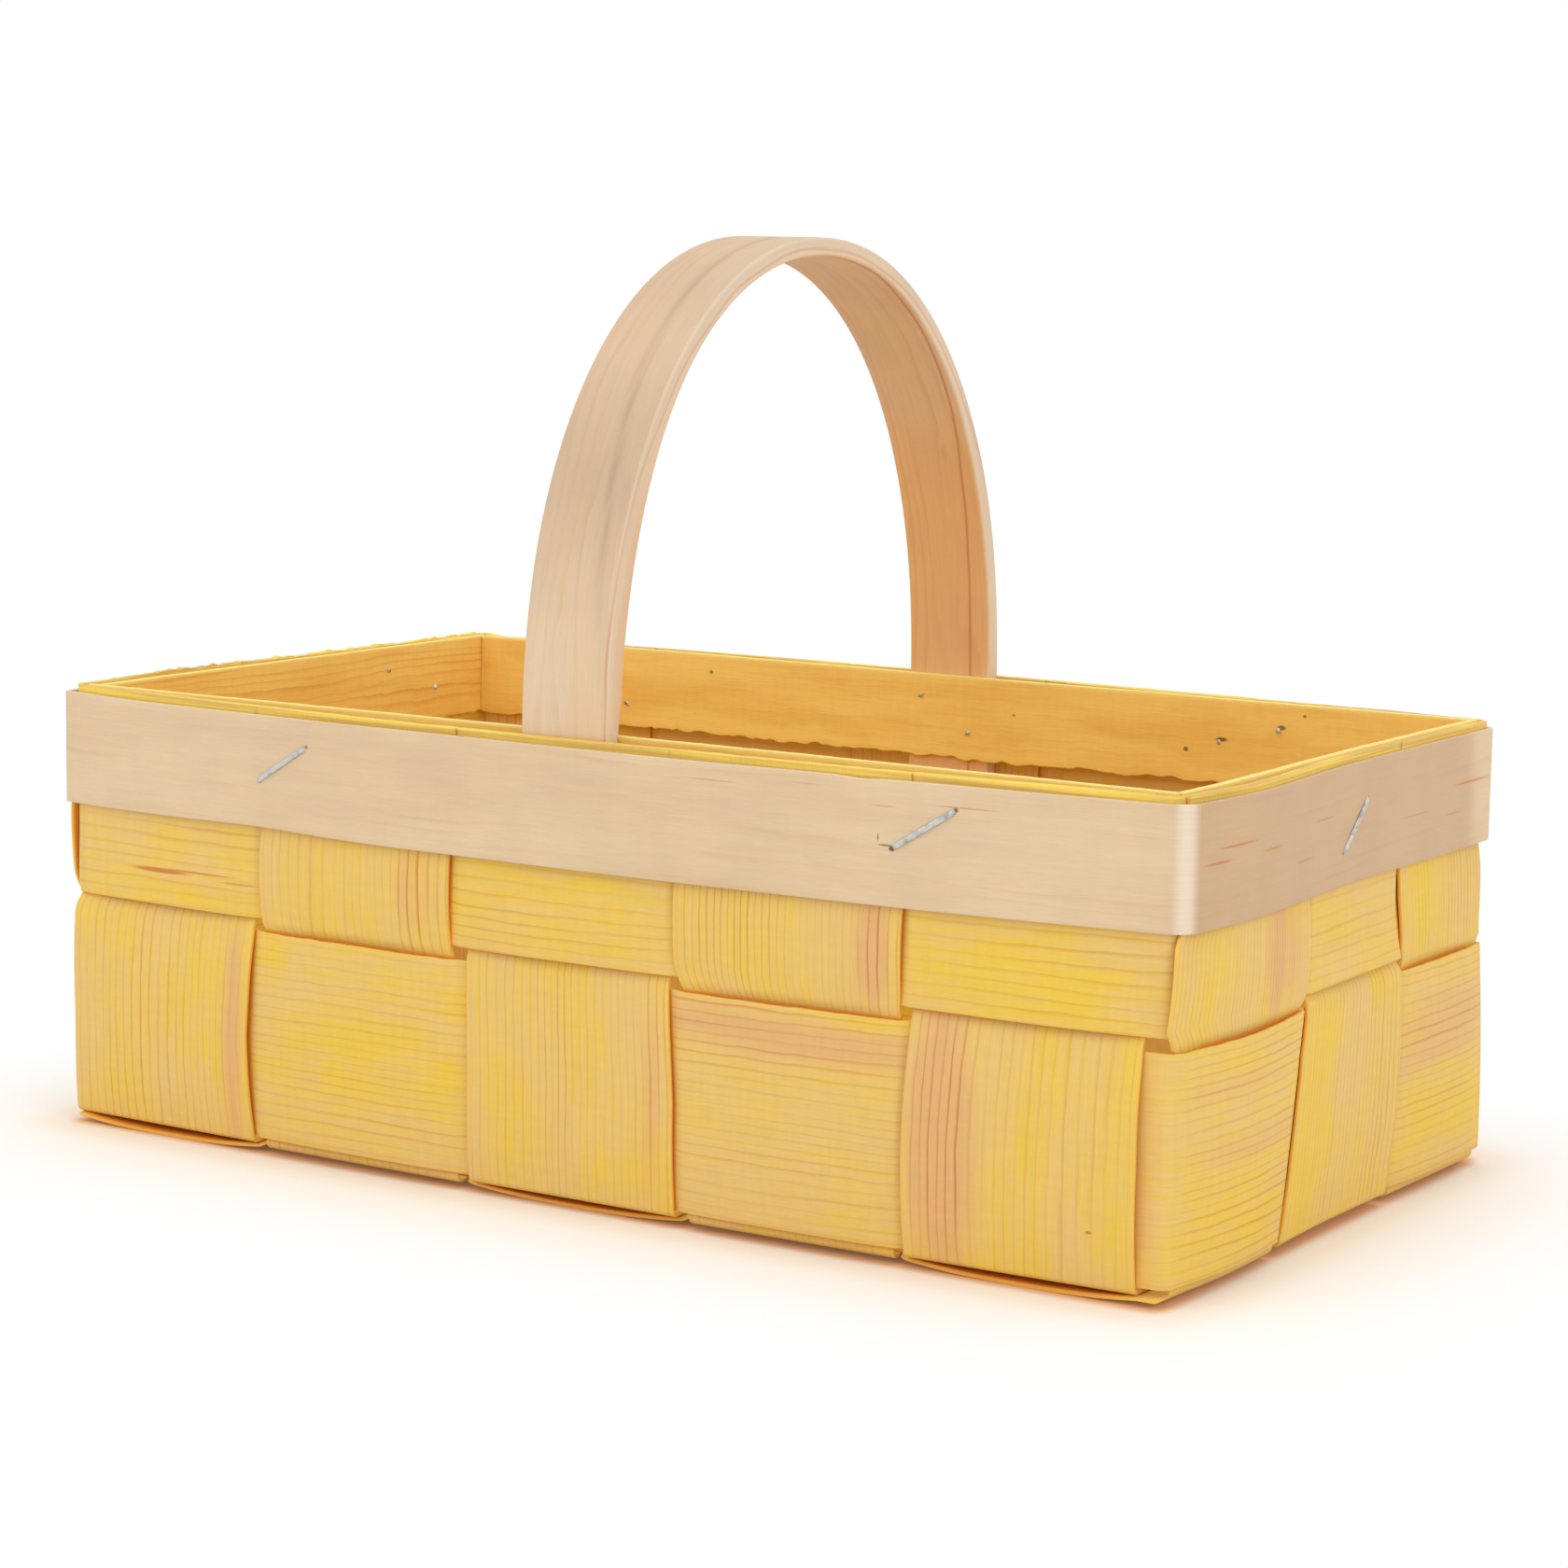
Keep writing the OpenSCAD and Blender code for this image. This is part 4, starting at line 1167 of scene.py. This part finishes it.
class BASKET_OT_staples(bpy.types.Operator):
    """Makes the flat wire staples through the rim and through the handle's legs"""
    bl_idname = "basket.staples"
    bl_label = "Staples"

    # Wall, place along it, place up the band, tilt and how far the points spread beyond the crown
    RIM = ((FRONT, -0.538, 0.6, 1, 0), (FRONT, 0.622, 0.64, 1, 0), (RIGHT, 0.013, 0.49, 1.25, 0),
           (BACK, LAP_SHARE, 0.75, -0.45, 0), (BACK, 0.708, 0.42, -0.5, 0), (LEFT, -0.577, 0.73, 0.54, 1.8))
    GRIP = ((FRONT, 0, 0.7, 1, 0), (BACK, 0, 0.7, 1, 0))
    TILT, CROWN_HALF, BEND_R = 32, 5.8, 0.35
    PLAY, SPARE_SWELL, TIP_OUT = 0.05, 0.6, 0.5

    def execute(self, context):
        size = context.scene.basket_sizes
        weave = Weave(size)
        band, board = size.band_t / MM, size.board_t / MM
        for name, places, on_band in (("rim_staples", self.RIM, True), ("handle_staples", self.GRIP, False)):
            bm = bmesh.new()
            for wall, share, high, tilt, splay in places:
                u = share * (UP_X if wall % 2 == 0 else UP_Y) - (0 if on_band else HANDLE_SKEW / 2)
                curve = 1 - (u / UP_X) ** 2 if wall % 2 == 0 else 0
                swell = weave.out(wall, u, RIM_TOP)
                out = swell + weave.layer + weave.t / 2 + self.PLAY
                if on_band:
                    out = swell + weave.band_in + band + self.PLAY + self.SPARE_SWELL * curve
                    if share == LAP_SHARE:
                        out += band + weave.play
                slope = 0
                if wall % 2 == 0:
                    slope = math.atan(2 * (weave.up_swell + self.SPARE_SWELL) * u / UP_X ** 2)
                base = weave.out(wall, UP_X, RIM_TOP)
                depth = out - base + weave.t + weave.play / 2 + weave.play + board + self.TIP_OUT
                turn = (Matrix.Rotation(math.radians(90) * wall, 4, "Z")
                        @ Matrix.Translation((u, -out, mix(BAND_Z[0], BAND_Z[1], high)))
                        @ Matrix.Rotation(slope, 4, "Z")
                        @ Matrix.Rotation(-math.radians(self.TILT * tilt), 4, "Y"))
                self.staple(bm, turn, depth, splay, size, on_band)
            finish_mesh(name.capitalize(), name, bm, "Staple wire")
        return {"FINISHED"}

    def staple(self, bm, turn, depth, splay, size, settled):
        """One staple: a flat rounded section carried along a crown and two legs."""
        wide, thick = size.wire_w / MM / 2, size.wire_t / MM / 2
        half, r = self.CROWN_HALF, self.BEND_R
        leg = [(-half - splay * (s - r) / (depth - r), s) for s in spread(depth, r, 6)]
        bend = [(-half + r - r * math.cos(a), r - r * math.sin(a)) for a in spread(0, math.pi / 2, 5)[1:]]
        crown = [(s, -0.12 * (1 - (s / half) ** 2)) for s in spread(-half + r, half - r, 12)[1:-1]]
        route = [Vector(p) for p in leg + bend + crown + [(-x, y) for x, y in reversed(leg + bend)]]
        last, around = len(route) - 1, 12
        made = bmesh.ops.create_grid(bm, x_segments=last, y_segments=around, size=1)["verts"]
        for v in made:
            i = round((v.co.x + 1) / 2 * last)
            angle = math.pi * (v.co.y + 1)
            way = (route[min(i + 1, last)] - route[max(i - 1, 0)]).normalized()
            deep, flat = [math.copysign(abs(c) ** 0.6, c) * reach_out
                          for c, reach_out in ((math.cos(angle), thick), (math.sin(angle), wide))]
            v.co = turn @ Vector((route[i].x + way.y * deep, route[i].y - way.x * deep, flat))
            if settled:
                v.co = settle(v.co, band=True)
        bmesh.ops.remove_doubles(bm, verts=made, dist=0.002)
        bmesh.ops.holes_fill(bm, edges=[e for e in bm.edges if e.is_boundary])
        bmesh.ops.recalc_face_normals(bm, faces=bm.faces)
        for f in bm.faces:
            f.smooth = True


def seen_directly(tree):
    """1 for rays from the camera, also by way of metal and glass."""
    seen = add(tree, "ShaderNodeLightPath").outputs
    share = maths(tree, "MAXIMUM", seen["Is Camera Ray"], seen["Is Glossy Ray"])
    return maths(tree, "MAXIMUM", share, seen["Is Transmission Ray"])


class BASKET_OT_stage(bpy.types.Operator):
    """Makes the floor, the light and the camera"""
    bl_idname = "basket.stage"
    bl_label = "Stage"

    # The camera's turn, height angle, roll and place, and its focal length in pixels of the frame
    AZIMUTH, ELEVATION, ROLL = 32.21, 8.04, 0.94
    PLACE = (350.87, -553.79, 153.89)
    FOCAL, FRAME, SENSOR = 4213.27, 1680, 36
    # Name, place in metres, power and size of each lamp, and the light of the room
    LAMPS = (("Key", (-0.55, -1.2, 1.1), 5.0, 1.2), ("Fill", (1.4, -0.4, 0.9), 4.8, 1.2),
             ("Top", (0.0, 0.3, 1.5), 4.3, 1.4))
    ROOM = 0.78
    AIM = (0, 0, 0.05)
    # Painted shade: tints of the floor close under the basket and round it, for its warm contact shadow and
    # the light the basket throws back, and how much it glows by itself
    DEEP, WARM = (0.9, 0.54, 0.3), (0.97, 0.89, 0.79)
    GLOW = 0.14

    def execute(self, context):
        scene = context.scene
        scene.view_settings.view_transform = "Standard"
        self.camera(scene)
        self.floor(scene)
        self.light(scene)
        return {"FINISHED"}

    def camera(self, scene):
        azimuth, elevation, roll = [math.radians(a) for a in (self.AZIMUTH, self.ELEVATION, self.ROLL)]
        back = Vector((math.sin(azimuth) * math.cos(elevation), -math.cos(azimuth) * math.cos(elevation),
                       math.sin(elevation)))
        right = Vector((0, 0, 1)).cross(back).normalized()
        up = back.cross(right)
        across = right * math.cos(roll) + up * math.sin(roll)
        upright = up * math.cos(roll) - right * math.sin(roll)
        data = bpy.data.cameras.new("Camera")
        data.sensor_width = self.SENSOR
        data.lens = self.FOCAL / self.FRAME * self.SENSOR
        data.clip_start, data.clip_end = 0.01, 50
        camera = bpy.data.objects.new("Camera", data)
        turned = Matrix((across, upright, back)).transposed().to_4x4()
        camera.matrix_world = Matrix.Translation(Vector(self.PLACE) * MM) @ turned
        scene.collection.objects.link(camera)
        scene.camera = camera

    def floor(self, scene):
        bm = bmesh.new()
        bmesh.ops.create_grid(bm, x_segments=8, y_segments=8, size=4)
        mesh = bpy.data.meshes.new("Floor")
        bm.to_mesh(mesh)
        bm.free()
        floor = bpy.data.objects.new("Floor", mesh)
        scene.collection.objects.link(floor)
        mesh.materials.append(self.floor_paint(scene.basket_colours.floor))

    def floor_paint(self, colour):
        """Pale floor with a painted warm shade round the basket, white further off."""
        made = bpy.data.materials.new("Floor")
        made.use_nodes = True
        tree = made.node_tree
        tree.nodes.clear()
        away = self.away(tree)
        deep, warm = tinted(colour, *self.DEEP), tinted(colour, *self.WARM)
        # Painted shade: orange-brown at the basket's foot, then a warm tint, then the floor's own colour
        shade = blend(tree, ramp(tree, away, 0.001, 0.004), deep, warm)
        shade = blend(tree, ramp(tree, away, 0.003, 0.014), shade, colour)
        paint = add(tree, "ShaderNodeBsdfDiffuse", {"Color": shade})
        share = seen_directly(tree)
        glow = add(tree, "ShaderNodeEmission", {"Color": shade, "Strength": times(tree, share, self.GLOW)})
        both = add(tree, "ShaderNodeAddShader", {0: paint.outputs[0], 1: glow.outputs[0]})
        far = times(tree, ramp(tree, away, 0.005, 0.05), share)
        white = add(tree, "ShaderNodeEmission", {"Color": (1, 1, 1, 1), "Strength": 1.0})
        faded = add(tree, "ShaderNodeMixShader", {0: far, 1: both.outputs[0], 2: white.outputs[0]})
        add(tree, "ShaderNodeOutputMaterial", {0: faded.outputs[0]})
        return made

    def away(self, tree):
        """Distance of a place on the floor from the rectangle under the basket."""
        value = object_place(tree)
        edge = ((LOW_X - 1.5) * MM, (LOW_Y - 0.5) * MM, 0)
        for operation, other in (("ABSOLUTE", None), ("SUBTRACT", edge), ("MAXIMUM", (0, 0, 0))):
            values = {0: value} if other is None else {0: value, 1: other}
            value = add(tree, "ShaderNodeVectorMath", values, operation=operation).outputs["Vector"]
        return add(tree, "ShaderNodeVectorMath", {0: value}, operation="LENGTH").outputs["Value"]

    def light(self, scene):
        world = bpy.data.worlds.new("Studio")
        scene.world = world
        world.use_nodes = True
        tree = world.node_tree
        tree.nodes.clear()
        room = add(tree, "ShaderNodeBackground", {"Color": (1, 1, 1, 1), "Strength": self.ROOM})
        white = add(tree, "ShaderNodeBackground", {"Color": (1, 1, 1, 1), "Strength": 1.0})
        share = seen_directly(tree)
        both = add(tree, "ShaderNodeMixShader", {0: share, 1: room.outputs[0], 2: white.outputs[0]})
        add(tree, "ShaderNodeOutputWorld", {0: both.outputs[0]})
        for name, place, power, side in self.LAMPS:
            data = bpy.data.lights.new(name, "AREA")
            data.energy, data.size = power, side
            lamp = bpy.data.objects.new(name, data)
            lamp.location = place
            lamp.rotation_euler = (Vector(self.AIM) - Vector(place)).to_track_quat("-Z", "Y").to_euler()
            scene.collection.objects.link(lamp)


class BASKET_PT_panel(bpy.types.Panel):
    """Lists the basket's parts"""
    bl_idname = "BASKET_PT_panel"
    bl_label = "Chip basket"
    bl_space_type = "VIEW_3D"
    bl_region_type = "UI"
    bl_category = "Basket"

    def draw(self, context):
        column = self.layout.column()
        for operator in OPERATORS:
            column.operator(operator.bl_idname)
        for group in (context.scene.basket_sizes, context.scene.basket_colours):
            for label in group.bl_rna.properties.keys()[2:]:
                column.prop(group, label)


OPERATORS = (
    BASKET_OT_stage, BASKET_OT_cross_splints, BASKET_OT_long_splints, BASKET_OT_hoops,
    BASKET_OT_rim_boards, BASKET_OT_rim_band, BASKET_OT_handle, BASKET_OT_staples,
)
CLASSES = (BasketSizes, BasketColours, *OPERATORS, BASKET_PT_panel)


def register():
    for part in CLASSES:
        bpy.utils.register_class(part)
    bpy.types.Scene.basket_sizes = PointerProperty(type=BasketSizes)
    bpy.types.Scene.basket_colours = PointerProperty(type=BasketColours)


def unregister():
    del bpy.types.Scene.basket_colours
    del bpy.types.Scene.basket_sizes
    for part in reversed(CLASSES):
        bpy.utils.unregister_class(part)


def main():
    register()
    for operator in OPERATORS:
        family, name = operator.bl_idname.split(".")
        getattr(getattr(bpy.ops, family), name)()


if __name__ == "__main__":
    main()
